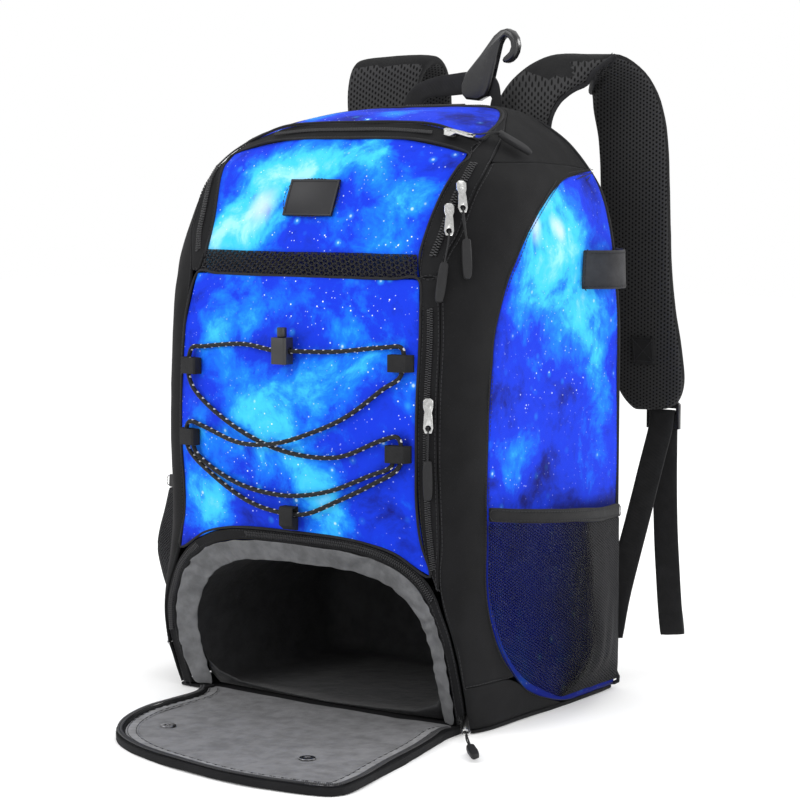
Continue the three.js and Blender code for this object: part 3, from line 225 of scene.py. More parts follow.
def clothMaterial(name, base, pitch=0.9 * mm, depth=0.12 * mm):
    graph = Graph(name, {"Specular IOR Level": 0.16})
    mottle = graph.step(graph.noise(clothLook["mottle"], 4, 0.6), 0.3, 0.72)
    fibre = graph.step(graph.noise(clothLook["fibre"], 2, 0.7), 0.60, 0.78)
    color = graph.mix(mottle, tinted(base, 0.66), base)
    color = graph.mix(fibre * clothLook["fibreShare"], color, tinted(base, 2.2, 0.010))
    folds = graph.bump(graph.noise(clothLook["fold"], 3, 0.5), clothLook["foldDepth"], 0.35)
    fine = graph.bump(weave(graph, pitch), depth, 0.6, folds)
    rough = 0.85 - 0.12 * graph.noise(clothLook["wear"], 2)
    return graph.surface(color=color, rough=rough, normal=fine)


# The printed cloth: clouds of cyan on royal blue, navy between them, and white stars of several sizes.
# A cloud has its centre, its reach and how bright it is, in metres.
clouds = [
    {"at": (-0.070, -0.118, 0.425), "reach": 0.062, "glow": 0.50},
    {"at": (-0.040, -0.109, 0.455), "reach": 0.040, "glow": 0.40},
    {"at": (-0.005, -0.104, 0.462), "reach": 0.034, "glow": 0.38},
    {"at": (0.040, -0.092, 0.474), "reach": 0.036, "glow": 0.36},
    {"at": (0.105, -0.106, 0.436), "reach": 0.024, "glow": 0.42},
    {"at": (0.075, -0.112, 0.420), "reach": 0.030, "glow": 0.26},
    {"at": (-0.090, -0.126, 0.400), "reach": 0.040, "glow": 0.40},
    {"at": (-0.064, -0.017, 0.508), "reach": 0.034, "glow": 0.30},
    {"at": (0.020, -0.030, 0.506), "reach": 0.030, "glow": 0.22},
    {"at": (0.170, -0.050, 0.412), "reach": 0.050, "glow": 0.40},
    {"at": (0.170, 0.000, 0.425), "reach": 0.046, "glow": 0.34},
    {"at": (0.170, 0.015, 0.375), "reach": 0.056, "glow": 0.42},
    {"at": (0.168, -0.045, 0.365), "reach": 0.044, "glow": 0.30},
    {"at": (0.166, 0.055, 0.335), "reach": 0.050, "glow": 0.40},
    {"at": (0.164, 0.075, 0.275), "reach": 0.040, "glow": 0.30},
    {"at": (0.164, -0.060, 0.225), "reach": 0.034, "glow": 0.26},
    {"at": (0.164, 0.060, 0.215), "reach": 0.036, "glow": 0.26},
    {"at": (-0.095, -0.150, 0.172), "reach": 0.040, "glow": 0.50},
    {"at": (-0.104, -0.150, 0.235), "reach": 0.026, "glow": 0.30},
    {"at": (0.040, -0.156, 0.180), "reach": 0.046, "glow": 0.44},
    {"at": (-0.010, -0.158, 0.250), "reach": 0.060, "glow": 0.34},
    {"at": (0.060, -0.156, 0.310), "reach": 0.052, "glow": 0.36},
    {"at": (-0.060, -0.156, 0.330), "reach": 0.050, "glow": 0.30},
    {"at": (-0.170, -0.030, 0.370), "reach": 0.055, "glow": 0.50},
    {"at": (-0.170, -0.010, 0.280), "reach": 0.034, "glow": 0.30},
]
paleSpots = [
    {"at": (0.170, -0.045, 0.408), "reach": 0.014},
    {"at": (0.168, -0.002, 0.408), "reach": 0.011},
    {"at": (-0.062, -0.119, 0.424), "reach": 0.018},
]
sky = {
    "navy": (0.003, 0.005, 0.130, 1),
    "royal": (0.004, 0.034, 0.620, 1),
    "azure": (0.005, 0.175, 0.860, 1),
    "cyan": (0.045, 0.520, 0.960, 1),
    "pale": (0.480, 0.850, 0.980, 1),
    "pink": (0.640, 0.720, 0.980, 1),
    "star": (0.860, 0.960, 1.000, 1),
}


# Where each blue takes over from the one before it as the sky's level rises, and how fully.
skyBands = [
    {"color": "royal", "low": 0.02, "high": 0.32, "share": 1.0},
    {"color": "azure", "low": 0.34, "high": 0.62, "share": 1.0},
    {"color": "cyan", "low": 0.55, "high": 0.86, "share": 1.0},
    {"color": "pale", "low": 0.84, "high": 1.25, "share": 0.6},
]
# Scales are per metre. The drift frays the clouds' edges; the rest weighs what makes up the level.
skyLook = {
    "driftScale": 15,
    "driftReach": 0.045,
    "wispScale": 24,
    "broadScale": 8,
    "glowAlone": 0.30,
    "glowWisps": 1.40,
    "broad": 0.7,
    "wisps": 1.0,
    "level": 0.30,
    "spotShare": 0.8,
    "spotReach": 1.4,
    "cloudFar": 1.35,
    "cloudNear": 0.1,
    "starCore": 0.35,
}
# Stars crowd together in places: the scale of those places, and the share of light between them.
starCrowd = {"scale": 9, "low": 0.40, "high": 0.62, "least": 0.25}
stars = [
    {"scale": 210, "size": 0.13, "share": 0.8},
    {"scale": 110, "size": 0.10, "share": 1.0},
    {"scale": 48, "size": 0.095, "share": 1.0},
]
halo = {"scale": 48, "outer": 0.24, "inner": 0.04, "share": 0.45}
# Painted shade: below this height and beyond this width the print is darkened towards navy, where the
# net pocket covers it.
pocketShade = {
    "top": 0.180,
    "fade": 0.012,
    "side": 0.13,
    "sideFade": 0.01,
    "depth": 0.8,
    "color": (0.001, 0.003, 0.075, 1),
}


# The level of the sky at a place: the clouds' glow broken by wisps, over a broad swell.
def skyLevel(graph, at):
    glow = None
    for cloud in clouds:
        far, near = cloud["reach"] * skyLook["cloudFar"], cloud["reach"] * skyLook["cloudNear"]
        part = graph.step(graph.distance(at, cloud["at"]), far, near, 0.0, cloud["glow"])
        glow = part if glow is None else graph.maths("ADD", glow, part)
    wisps = graph.noise(skyLook["wispScale"], 8, 0.66, at)
    broad = graph.noise(skyLook["broadScale"], 3, 0.5)
    lit = glow * (skyLook["glowAlone"] + wisps * skyLook["glowWisps"])
    swell = (broad - 0.5) * skyLook["broad"] + (wisps - 0.5) * skyLook["wisps"]
    return lit + swell + skyLook["level"]


def printMaterial(name):
    graph = Graph(name, {"Specular IOR Level": 0.12})
    drift = graph.noise(skyLook["driftScale"], 2, 0.5, out="Color")
    drift = graph.vector("SUBTRACT", drift, (0.5, 0.5, 0.5))
    at = graph.vector("ADD", graph.place, graph.scaled(drift, skyLook["driftReach"]))
    level = skyLevel(graph, at)
    color = sky["navy"]
    for band in skyBands:
        amount = graph.step(level, band["low"], band["high"]) * band["share"]
        color = graph.mix(amount, color, sky[band["color"]])
    for spot in paleSpots:
        away = graph.distance(at, spot["at"])
        far = spot["reach"] * skyLook["spotReach"]
        near = graph.step(away, far, 0.0, 0.0, skyLook["spotShare"])
        color = graph.mix(near, color, sky["pink"])
    places = graph.noise(starCrowd["scale"], 1)
    crowd = graph.step(places, starCrowd["low"], starCrowd["high"], starCrowd["least"], 1.0)
    for star in stars:
        core = star["size"] * skyLook["starCore"]
        spark = graph.step(graph.cells(star["scale"]), star["size"], core)
        color = graph.mix(spark * crowd * star["share"], color, sky["star"])
    ring = graph.step(graph.cells(halo["scale"]), halo["outer"], halo["inner"], 0.0, halo["share"])
    color = graph.mix(ring * crowd, color, sky["cyan"])
    # Painted shade of the net pocket: the print darkened below its hem and towards its sides.
    x, _, z = graph.split()
    below = graph.step(z, pocketShade["top"], pocketShade["top"] - pocketShade["fade"])
    edge = pocketShade["side"]
    beyond = graph.step(graph.maths("ABSOLUTE", x), edge, edge + pocketShade["sideFade"])
    color = graph.mix(below * beyond * pocketShade["depth"], color, pocketShade["color"])
    soft = graph.bump(graph.noise(30, 2), 1.0 * mm, 0.3)
    fine = graph.bump(weave(graph, 0.8 * mm), 0.08 * mm, 0.5, soft)
    return graph.surface(color=color, rough=0.66 + 0.1 * graph.noise(70), normal=fine)


# Open mesh cloth. With clearUntil it lets the print show through on the right side, in front of that
# depth; everywhere else it stays dense.
def netMaterial(name, pitch, openness, clearUntil=None):
    graph = Graph(name, {"Specular IOR Level": 0.15})
    x, y, z = graph.split()
    cell = honeycomb(graph, graph.maths("ABSOLUTE", x) * 0.7 + y, z, pitch)
    hole = graph.step(cell, -1.2, 0.1)
    # Painted shade: the holes are coloured darker than the strands, so what shows through them is
    # darkened.
    color = graph.mix(hole, (0.012, 0.012, 0.014, 1), (0.003, 0.003, 0.004, 1))
    cover = 1.0 - hole * openness
    if clearUntil is not None:
        right = graph.step(x, 0.0, 0.01)
        behind = graph.step(y, clearUntil, clearUntil + 0.03)
        dense = graph.maths("MAXIMUM", behind, 1.0 - right)
        cover = graph.maths("MAXIMUM", cover * 0.6, dense * (1.0 - hole * 0.12))
    fine = graph.bump(-hole, 0.5 * mm, 0.8)
    return graph.surface(color=color, rough=0.7 + hole * 0.1, alpha=cover, normal=fine)


# Spacer mesh of the straps and the back: rows of small sunk holes, coloured near black as painted
# shade.
def airMaterial(name, pitch):
    graph = Graph(name, {"Specular IOR Level": 0.2})
    x, y, z = graph.split()
    cell = honeycomb(graph, x + y * 0.6, z - y * 0.6, pitch)
    hole = graph.step(cell, 0.1, 1.7)
    # Painted shade: the sunk holes are coloured far darker than the threads around them.
    color = graph.mix(hole, (0.027, 0.027, 0.028, 1), (0.0012, 0.0012, 0.0015, 1))
    return graph.surface(color=color, rough=0.72 + hole * 0.2, normal=graph.bump(-hole, 1.1 * mm, 0.9))


# Woven band: ribs along and across it.
def webMaterial(name, base, pitch=1.3 * mm):
    graph = Graph(name, {"Specular IOR Level": 0.22})
    x, y, z = graph.split()
    ribs = graph.wave(z + x * 0.3 + y * 0.3, pitch) * graph.wave(x - z * 0.25 + y, pitch * 1.6)
    tint = graph.step(graph.noise(90, 3, 0.6), 0.3, 0.75)
    color = graph.mix(tint, tinted(base, 0.7), base)
    fine = graph.bump(ribs, 0.22 * mm, 0.7)
    return graph.surface(color=color, rough=0.62 + 0.15 * graph.noise(140), normal=fine)


# Thin creased cloth with a slight sheen, and painted shade in the hollows of its creases.
def liningMaterial(name, base):
    graph = Graph(name, {"Sheen Weight": 0.1, "Sheen Roughness": 0.35, "Specular IOR Level": 0.25})
    creases = graph.noise(70, 5, 0.6)
    # Painted shade: the colour darkens where the crease bump below is lowest.
    color = graph.mix(graph.step(creases, 0.25, 0.7), tinted(base, 0.6), base)
    soft = graph.bump(creases, 2.5 * mm, 0.5)
    fine = graph.bump(weave(graph, 0.8 * mm), 0.1 * mm, 0.5, soft)
    return graph.surface(color=color, rough=0.6 + 0.2 * graph.noise(50), normal=fine)


def metalMaterial(name, base, rough):
    graph = Graph(name, {"Metallic": 1.0})
    wear = graph.noise(420, 4, 0.7)
    color = graph.mix(graph.step(wear, 0.35, 0.7), tinted(base, 0.8), base)
    fine = graph.bump(graph.noise(500, 2), 0.05 * mm, 0.3)
    return graph.surface(color=color, rough=rough + 0.1 * wear, normal=fine)


def plasticMaterial(name, base, rough, grain=0.05 * mm, gleam=0.5):
    graph = Graph(name, {"Specular IOR Level": gleam})
    scuff = graph.noise(220, 4, 0.65)
    color = graph.mix(graph.step(scuff, 0.5, 0.8) * 0.5, base, tinted(base, 1.8, 0.004))
    fine = graph.bump(graph.noise(900, 2), grain, 0.5)
    return graph.surface(color=color, rough=rough + 0.14 * scuff, normal=fine)


# Braided elastic cord: black with white flecks in a lozenge pattern, laid out on the piece's own map.
braid = {"fleck": 8.5 * mm, "strand": 1.2 * mm, "turns": 4.0, "white": (0.62, 0.62, 0.60, 1)}


def braidMaterial(name):
    graph = Graph(name, {"Specular IOR Level": 0.35})
    mapped = graph.node("ShaderNodeUVMap", {"uv_map": "UVMap"})
    along, around, _ = graph.split(mapped)
    fleck, strand = along / braid["fleck"], along / braid["strand"]
    lozenge = graph.wave(fleck + around, 1.0) + graph.wave(fleck - around, 1.0)
    twist = around * braid["turns"]
    strands = graph.wave(strand + twist, 1.0) * graph.wave(strand - twist, 1.0)
    color = graph.mix(graph.step(lozenge, 1.15, 1.5), black, braid["white"])
    fine = graph.bump(strands, 0.25 * mm, 0.8)
    return graph.surface(color=color, rough=0.7 + strands * 0.08, normal=fine)


look = {
    "cloth": clothMaterial("black_cloth", black),
    "base": clothMaterial("base_cloth", (0.008, 0.008, 0.009, 1), 1.4 * mm, 0.25 * mm),
    "tape": clothMaterial("zip_tape", (0.009, 0.009, 0.010, 1), 1.1 * mm, 0.16 * mm),
    "print": printMaterial("galaxy_print"),
    "net": netMaterial("pocket_net", 2.2 * mm, 0.9, -0.005),
    "coarse": netMaterial("coarse_net", 3.4 * mm, 0.45),
    "air": airMaterial("air_mesh", 3.4 * mm),
    "web": webMaterial("black_webbing", (0.014, 0.014, 0.015, 1)),
    "greyWeb": webMaterial("grey_webbing", (0.045, 0.045, 0.048, 1), 1.0 * mm),
    "lining": liningMaterial("grey_lining", (0.150, 0.152, 0.158, 1)),
    "tub": liningMaterial("dark_lining", (0.030, 0.030, 0.032, 1)),
    "flap": liningMaterial("flap_lining", (0.175, 0.175, 0.182, 1)),
    "nickel": metalMaterial("nickel", (0.56, 0.56, 0.55, 1), 0.14),
    "gunmetal": metalMaterial("gunmetal", (0.16, 0.16, 0.17, 1), 0.28),
    "coil": plasticMaterial("coil", (0.020, 0.020, 0.022, 1), 0.34),
    "gloss": plasticMaterial("gloss_plastic", (0.010, 0.010, 0.011, 1), 0.18),
    "plastic": plasticMaterial("plastic", (0.014, 0.014, 0.015, 1), 0.38),
    "rubber": plasticMaterial("rubber", (0.013, 0.013, 0.014, 1), 0.5, 0.12 * mm, 0.25),
    "braid": braidMaterial("braid"),
    "trim": webMaterial("trim", (0.016, 0.016, 0.018, 1), 0.8 * mm),
    "thread": plasticMaterial("thread", (0.022, 0.022, 0.024, 1), 0.5, 0.05 * mm, 0.2),
    "label": plasticMaterial("label_rubber", (0.007, 0.007, 0.009, 1), 0.36, 0.1 * mm, 0.3),
    "binding": liningMaterial("flap_binding", (0.240, 0.240, 0.246, 1)),
}
print("materials made")


# A copy of a node's mesh in the shared frame, with its corners joined.
def copyOf(node):
    bm = bmesh.new()
    bm.from_mesh(nodes[node].data)
    bm.transform(nodes[node].matrix_world)
    bmesh.ops.remove_doubles(bm, verts=bm.verts, dist=0.02 * mm)
    bmesh.ops.recalc_face_normals(bm, faces=bm.faces)
    return bm


# The same copy with its triangles paired to quads, where they lie nearly flat.
quadLimits = {"fold": math.radians(35), "shape": math.radians(65)}


def quadsOf(node):
    bm = copyOf(node)
    bmesh.ops.join_triangles(
        bm,
        faces=bm.faces,
        angle_face_threshold=quadLimits["fold"],
        angle_shape_threshold=quadLimits["shape"],
    )
    return bm


# Makes the mesh into a piece of the bag; material is one name of look, or a list of them.
def finishPiece(name, bm, material, replaced=()):
    mesh = bpy.data.meshes.new(name)
    bm.to_mesh(mesh)
    bm.free()
    for each in material if isinstance(material, list) else [material]:
        mesh.materials.append(look[each])
    piece = bpy.data.objects.new(name, mesh)
    bpy.context.collection.objects.link(piece)
    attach(piece, "root")
    if replaced:
        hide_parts(*replaced)
    return piece


# Swaps the piece's mesh for the one that its modifiers make.
def applyModifiers(piece):
    graph = bpy.context.evaluated_depsgraph_get()
    mesh = bpy.data.meshes.new_from_object(piece.evaluated_get(graph))
    old = piece.data
    piece.modifiers.clear()
    piece.data = mesh
    bpy.data.meshes.remove(old)


def ripple(at, size, wave, seed):
    shifted = at / wave + Vector((seed, seed * 0.7, -seed))
    return noise.noise_vector(shifted) * size


# Cloth panels: the solid's own net, its rims kept crisp, smoothed and slightly rumpled.
# Neighbours share the same ripples, so their seams stay together.
rumple = {
    "size": 1.1 * mm,
    "wave": 55 * mm,
    "fineSize": 0.35,
    "fineWave": 0.33,
    "seed": 3.0,
    "fineSeed": 9.0,
}
creaseAngle = math.radians(48)


def soften(
    node, material, levels=2, crease=0.9, size=rumple["size"], wave=rumple["wave"], extra=None
):
    bm = quadsOf(node)
    layer = bm.edges.layers.float.get("crease_edge") or bm.edges.layers.float.new("crease_edge")
    for edge in bm.edges:
        if edge.is_manifold and edge.calc_face_angle(0) > creaseAngle:
            edge[layer] = crease
    for face in bm.faces:
        face.smooth = True
    piece = finishPiece(node + "_cloth", bm, material, (node,))
    modifier = piece.modifiers.new("round", "SUBSURF")
    modifier.levels = modifier.render_levels = levels
    applyModifiers(piece)
    fineSize, fineWave = size * rumple["fineSize"], wave * rumple["fineWave"]
    for vertex in piece.data.vertices:
        at = vertex.co.copy()
        move = ripple(at, size, wave, rumple["seed"])
        move += ripple(at, fineSize, fineWave, rumple["fineSeed"])
        if extra:
            move += extra(at)
        vertex.co = at + move
    piece.data.polygons.foreach_set("use_smooth", [True] * len(piece.data.polygons))
    return piece


# Hard pieces: the solid's own faces, with small rounded edges.
hardEdge = {"flat": math.radians(2), "bevelled": math.radians(32), "shaded": math.radians(40)}


def isSharp(edge, angle):
    return edge.is_manifold and edge.calc_face_angle(0) > angle


def harden(node, material, bevel):
    bm = copyOf(node)
    bmesh.ops.dissolve_limit(bm, angle_limit=hardEdge["flat"], verts=bm.verts, edges=bm.edges)
    bmesh.ops.bevel(
        bm,
        geom=[e for e in bm.edges if isSharp(e, hardEdge["bevelled"])],
        offset=bevel,
        segments=2,
        profile=0.5,
        affect="EDGES",
        clamp_overlap=True,
        material=-1,
    )
    for face in bm.faces:
        face.smooth = True
    for edge in bm.edges:
        edge.smooth = not isSharp(edge, hardEdge["shaded"])
    finishPiece(node + "_hard", bm, material, (node,))


# Chains of vertices: the line along the middle of a zip, or the seam line round a panel's outer face.
longestChain = 3000


def chained(links):
    chains = []
    left = dict(links)
    while left:
        start = next((v for v in left if len(left[v]) == 1), next(iter(left)))
        chain = [start]
        while len(chain) <= longestChain:
            onward = [v for v in left.get(chain[-1], ()) if v in left and v not in chain[-2:]]
            if not onward:
                break
            chain.append(onward[0])
            if onward[0] is chain[0]:
                break
        for v in chain:
            left.pop(v, None)
        if len(chain) > 2:
            chains.append(chain)
    return sorted(chains, key=len, reverse=True)


# How far a face looks up, or away from the bag's middle where no up is given.
def facing(face, up):
    centre = face.calc_center_median()
    away = up or Vector((centre.x, centre.y, (centre.z - middle.z) * 0.6))
    return face.normal.dot(away.normalized())


# The faces of a panel's outer side: of its two largest smooth patches, the one that looks outward.
# Faces and corners are kept in the mesh's own order, so that each run gives the same lines.
def outerFaces(bm, up=None, sharp=40):
    waiting = dict.fromkeys(bm.faces)
    patches = []
    while waiting:
        first = next(iter(waiting))
        del waiting[first]
        patch, edge = [], [first]
        while edge:
            face = edge.pop()
            patch.append(face)
            for side in face.edges:
                if side.is_manifold and side.calc_face_angle(0) < math.radians(sharp):
                    for other in side.link_faces:
                        if other in waiting:
                            del waiting[other]
                            edge.append(other)
        patches.append(patch)
    patches.sort(key=lambda patch: sum(f.calc_area() for f in patch), reverse=True)
    return set(max(patches[:2], key=lambda patch: sum(facing(f, up) * f.calc_area() for f in patch)))


def linesOf(links, inward=None):
    lines = []
    for chain in chained(links):
        lines.append([[v.co.copy() for v in chain], [v.normal.copy() for v in chain]])
        if inward:
            lines[-1].append([inward(v) for v in chain])
    return lines


def midLine(node):
    bm = quadsOf(node)
    outer = outerFaces(bm)
    inner = dict.fromkeys(v for v in bm.verts if all(f in outer for f in v.link_faces))
    links = {v: [e.other_vert(v) for e in v.link_edges if e.other_vert(v) in inner] for v in inner}
    lines = linesOf(links)
    bm.free()
    return lines


def seamLines(node, up=None):
    bm = quadsOf(node)
    outer = outerFaces(bm, up)
    links = {}
    for edge in bm.edges:
        if sum(f in outer for f in edge.link_faces) == 1:
            a, b = edge.verts
            links.setdefault(a, []).append(b)
            links.setdefault(b, []).append(a)

    def inward(v):
        centres = [f.calc_center_median() for f in v.link_faces if f in outer]
        return (sum(centres, Vector()) / len(centres) - v.co).normalized()

    lines = linesOf(links, inward)
    bm.free()
    return lines


# A smooth curve from a to b that heads for its neighbours, at share t.
def curved(before, a, b, after, t):
    return 0.5 * (
        2 * a
        + (b - before) * t
        + (2 * before - 5 * a + 4 * b - after) * t * t
        + (3 * a - before - 3 * b + after) * t ** 3
    )


# Even frames along a smooth curve through the points: place, direction, outward normal.
def framesAlong(points, normals, pitch, lift=0.0):
    count = len(points)
    closed = (points[0] - points[-1]).length < 1e-6
    first = points[-2] if closed else points[0] * 2 - points[1]
    last = points[1] if closed else points[-1] * 2 - points[-2]
    fine = []
    for i in range(count - 1):
        before = points[i - 1] if i > 0 else first
        after = points[i + 2] if i + 2 < count else last
        a, b = points[i], points[i + 1]
        parts = max(2, int((b - a).length / pitch * 3))
        for k in range(parts):
            t = k / parts
            fine.append((curved(before, a, b, after, t), normals[i].lerp(normals[i + 1], t)))
    fine.append((points[-1].copy(), normals[-1].copy()))
    spans = [(b[0] - a[0]).length for a, b in zip(fine, fine[1:])]
    length = sum(spans)
    steps = max(2, round(length / pitch))
    result = []
    walked, i = 0.0, 0
    for k in range(steps + 1):
        goal = length * k / steps
        while i < len(fine) - 2 and walked + spans[i] < goal:
            walked += spans[i]
            i += 1
        t = min(1.0, (goal - walked) / (spans[i] or 1e-9))
        here, there = fine[i], fine[i + 1]
        ahead = (there[0] - here[0]).normalized()
        up = here[1].lerp(there[1], t)
        up = (up - ahead * up.dot(ahead)).normalized()
        result.append((here[0].lerp(there[0], t) + up * lift, ahead, up))
    return result


# The matrix of a frame: X to the side, Y along its normal, Z ahead, each scaled.
def matrixOf(at, ahead, up, width=1.0, height=1.0, deep=1.0):
    side = ahead.cross(up)
    rows = Matrix((side * width, up * height, ahead * deep)).transposed().to_4x4()
    rows.translation = at
    return rows


# A tube along frames, round or flat, with its length and turn kept as a map.
def sweep(bm, frames, width, height, sides=8, closed=False):
    uvLayer = bm.loops.layers.uv.get("UVMap") or bm.loops.layers.uv.new("UVMap")
    start = matrixOf(*frames[0], width, height)
    rings = [bmesh.ops.create_circle(bm, segments=sides, radius=0.5, matrix=start)["verts"]]
    edges = list(dict.fromkeys(e for v in rings[0] for e in v.link_edges))
    for i, step in enumerate(frames[1:]):
        made = bmesh.ops.extrude_edge_only(bm, edges=edges)["geom"]
        fresh = [g for g in made if isinstance(g, bmesh.types.BMVert)]
        lines = [g for g in made if isinstance(g, bmesh.types.BMEdge)]
        edges = [e for e in lines if all(v in fresh for v in e.verts)]
        move = matrixOf(*step, width, height) @ matrixOf(*frames[i], width, height).inverted_safe()
        bmesh.ops.transform(bm, matrix=move, verts=fresh)
        rings.append(fresh)
    where = {}
    run = 0.0
    for i, ring in enumerate(rings):
        if i:
            run += (frames[i][0] - frames[i - 1][0]).length
        back = matrixOf(*frames[i], width, height).inverted_safe()
        for v in ring:
            local = back @ v.co
            where[v] = (run, (math.atan2(local.y, local.x) / (2 * math.pi)) % 1.0)
    for face in dict.fromkeys(f for ring in rings for v in ring for f in v.link_faces):
        turns = [where[loop.vert][1] for loop in face.loops]
        wrap = max(turns) - min(turns) > 0.5
        for loop in face.loops:
            length, turn = where[loop.vert]
            loop[uvLayer].uv = (length, turn + 1 if wrap and turn < 0.5 else turn)
        face.smooth = True
    if closed:
        bmesh.ops.remove_doubles(bm, verts=rings[0] + rings[-1], dist=1e-5)
    else:
        for ring in (rings[0], rings[-1]):
            rim = dict.fromkeys(e for v in ring for e in v.link_edges if e.is_boundary)
            bmesh.ops.contextual_create(bm, geom=list(rim))
    skin = dict.fromkeys(f for ring in rings for v in ring if v.is_valid for f in v.link_faces)
    bmesh.ops.recalc_face_normals(bm, faces=list(skin))


# Zip coils: two rows of short bars across the tape, half a pitch apart.
coil = {"pitch": 1.9 * mm, "bar": 2.5 * mm, "thick": 1.15 * mm, "apart": 1.15 * mm}


def zipCoil(node, lines, lift=0.3 * mm, scale=1.0):
    bm = bmesh.new()
    pitch, apart = coil["pitch"] * scale, coil["apart"] * scale
    radius, bar = 0.5 * coil["thick"] * scale, coil["bar"] * scale
    for points, normals in lines:
        for at, ahead, up in framesAlong(points, normals, pitch, lift):
            side = ahead.cross(up)
            for row in (-1, 1):
                lie = Matrix((ahead, up, side)).transposed().to_4x4()
                lie.translation = at + side * apart * row + ahead * (0.5 * pitch if row > 0 else 0)
                bmesh.ops.create_cone(
                    bm, segments=6, radius1=radius, radius2=radius, depth=bar, cap_ends=True, matrix=lie
                )
    for face in bm.faces:
        face.smooth = True
    finishPiece(node + "_coil", bm, "coil")


def lengthOf(points):
    return sum((b - a).length for a, b in zip(points, points[1:]))


# Piping along the seam lines, apart from the very short ones: its step and its radii.
shortSeam = 60 * mm
pipe = {"step": 4 * mm, "panel": 1.2 * mm, "back": 1.8 * mm}


def piping(name, lines, radius):
    bm = bmesh.new()
    for points, normals, _ in lines:
        if lengthOf(points) < shortSeam:
            continue
        closed = (points[0] - points[-1]).length < 1e-6
        sweep(bm, framesAlong(points, normals, pipe["step"]), 2 * radius, 2 * radius, 8, closed)
    finishPiece(name, bm, "trim")


# A row of stitches along a seam line, set in from it towards the panel's middle.
stitch = {"length": 2.4 * mm, "thick": 0.55 * mm, "pitch": 3.6 * mm}


def stitchFrames(bm, frames):
    for at, ahead, up in frames:
        lie = matrixOf(at, ahead, up, stitch["thick"], stitch["thick"], stitch["length"])
        bmesh.ops.create_cube(bm, size=1.0, matrix=lie)


def stitches(name, lines, inset, lift=0.2 * mm):
    bm = bmesh.new()
    for points, normals, inward in lines:
        frames = framesAlong(points, normals, stitch["pitch"], lift)
        ways = framesAlong(points, inward, stitch["pitch"])
        for (at, ahead, up), (_, _, into) in zip(frames, ways):
            stitchFrames(bm, [(at + into * inset, ahead, up)])
    finishPiece(name, bm, "thread")


# A pale paper floor just under the bag.
floorLook = {"size": 6.0, "drop": 0.6 * mm, "paper": (0.95, 0.95, 0.95, 1), "glow": 0.08}


def setFloor():
    bm = bmesh.new()
    bmesh.ops.create_grid(bm, x_segments=1, y_segments=1, size=floorLook["size"])
    mesh = bpy.data.meshes.new("floor")
    bm.to_mesh(mesh)
    bm.free()
    mesh.transform(Matrix.Translation((0, 0, -floorLook["drop"])))
    constants = {
        "Roughness": 1.0,
        "Specular IOR Level": 0.0,
        "Base Color": floorLook["paper"],
        "Emission Color": (1, 1, 1, 1),
        "Emission Strength": floorLook["glow"],
    }
    mesh.materials.append(Graph("floor_paper", constants).material)
    floor = bpy.data.objects.new("floor", mesh)
    bpy.context.collection.objects.link(floor)


setFloor()


# Body of the bag: the look and slot of each panel.
panels = [
    (
        "cloth",
        "cloth",
        ("gusset_right", "gusset_left", "gusset_lower_right", "gusset_lower_left", "top_yoke"),
    ),
    ("base", "cloth", ("base_panel",)),
    (
        "print",
        "print",
        ("front_panel", "top_panel", "side_print_right", "side_print_left", "pocket_front"),
    ),
    ("tape", "zip", ("main_zip", "brow_zip", "pocket_zip", "shoe_zip")),
    ("coarse", "mesh", ("pocket_mesh",)),
]
for material, slot, names in panels:
    for name in names:
        soften(name, material)
print("panels made")


# Foam pads sewn into the back, in millimetres: a pair at the shoulders, a pair below, one on the hips.
pads = [
    {"x": 68, "z": 348, "across": 54, "up": 62},
    {"x": 68, "z": 212, "across": 56, "up": 66},
    {"x": 0, "z": 84, "across": 128, "up": 50},
]
padRise = 7 * mm
padFront = 90 * mm


def padded(at):
    if at.y < padFront:
        return Vector()
    rise = 0.0
    for pad in pads:
        across = (abs(at.x) - pad["x"] * mm) / (pad["across"] * mm)
        up = (at.z - pad["z"] * mm) / (pad["up"] * mm)
        rise = max(rise, max(0.0, 1 - across ** 4) * max(0.0, 1 - up ** 4))
    return Vector((0, 1, 0)) * padRise * rise ** 0.6


backPanel = soften("back_panel", "air", levels=4, crease=0.35, extra=padded)
piping("back_piping", seamLines("back_panel"), pipe["back"])


# Gathers of the lining round the mouth of the shoe compartment.
gather = {
    "centre": 0.04,
    "folds": 52,
    "drift": 9,
    "driftWave": 0.035,
    "depth": 0.7 * mm,
    "crush": 1.0 * mm,
    "crushWave": 0.013,
}


def gathers(at):
    ring = math.atan2(at.z - gather["centre"], at.x)
    drift = gather["drift"] * noise.noise(at / gather["driftWave"])
    fold = math.sin(ring * gather["folds"] + drift) * gather["depth"]
    crush = noise.noise_vector(at / gather["crushWave"]) * gather["crush"]
    return Vector((0, -1, 0)) * fold + crush


# Low folds of the open flap: how close they lie across and along it, and their height.
flapFold = {"across": 18, "along": 30, "rise": 1.1}


def flapFolds(at):
    place = Vector((at.x * flapFold["across"], at.y * flapFold["along"], 1.0))
    return Vector((0, 0, 1)) * noise.noise(place) * flapFold["rise"] * mm


soften("shoe_border", "lining", levels=3, size=0.7 * mm, wave=40 * mm, extra=gathers)
soften("shoe_lining", "tub", crease=0.6)
soften(
    "shoe_flap", "flap", levels=3, crease=0.5, size=0.5 * mm, wave=60 * mm, extra=flapFolds
)
soften("flap_zip", "tape")
for side in ("left", "right"):
    harden("eyelet_" + side, "gunmetal", 0.2 * mm)

# The flap's crimped binding inside its zip, with two rows of stitches, and the zip's half coil
# outside it. Heights are above the floor; the hinge is a depth.
flapEdge = {
    "binding": 11 * mm,
    "thick": 1.5 * mm,
    "top": 5.1 * mm,
    "crimp": 0.35 * mm,
    "crimpTurn": 1.9,
    "rows": (2 * mm, 9 * mm),
    "rowRise": 0.6 * mm,
    "hinge": -0.128,
    "coil": 4.2 * mm,
    "coilTop": 8.2 * mm,
}
upward = Vector((0, 0, 1))


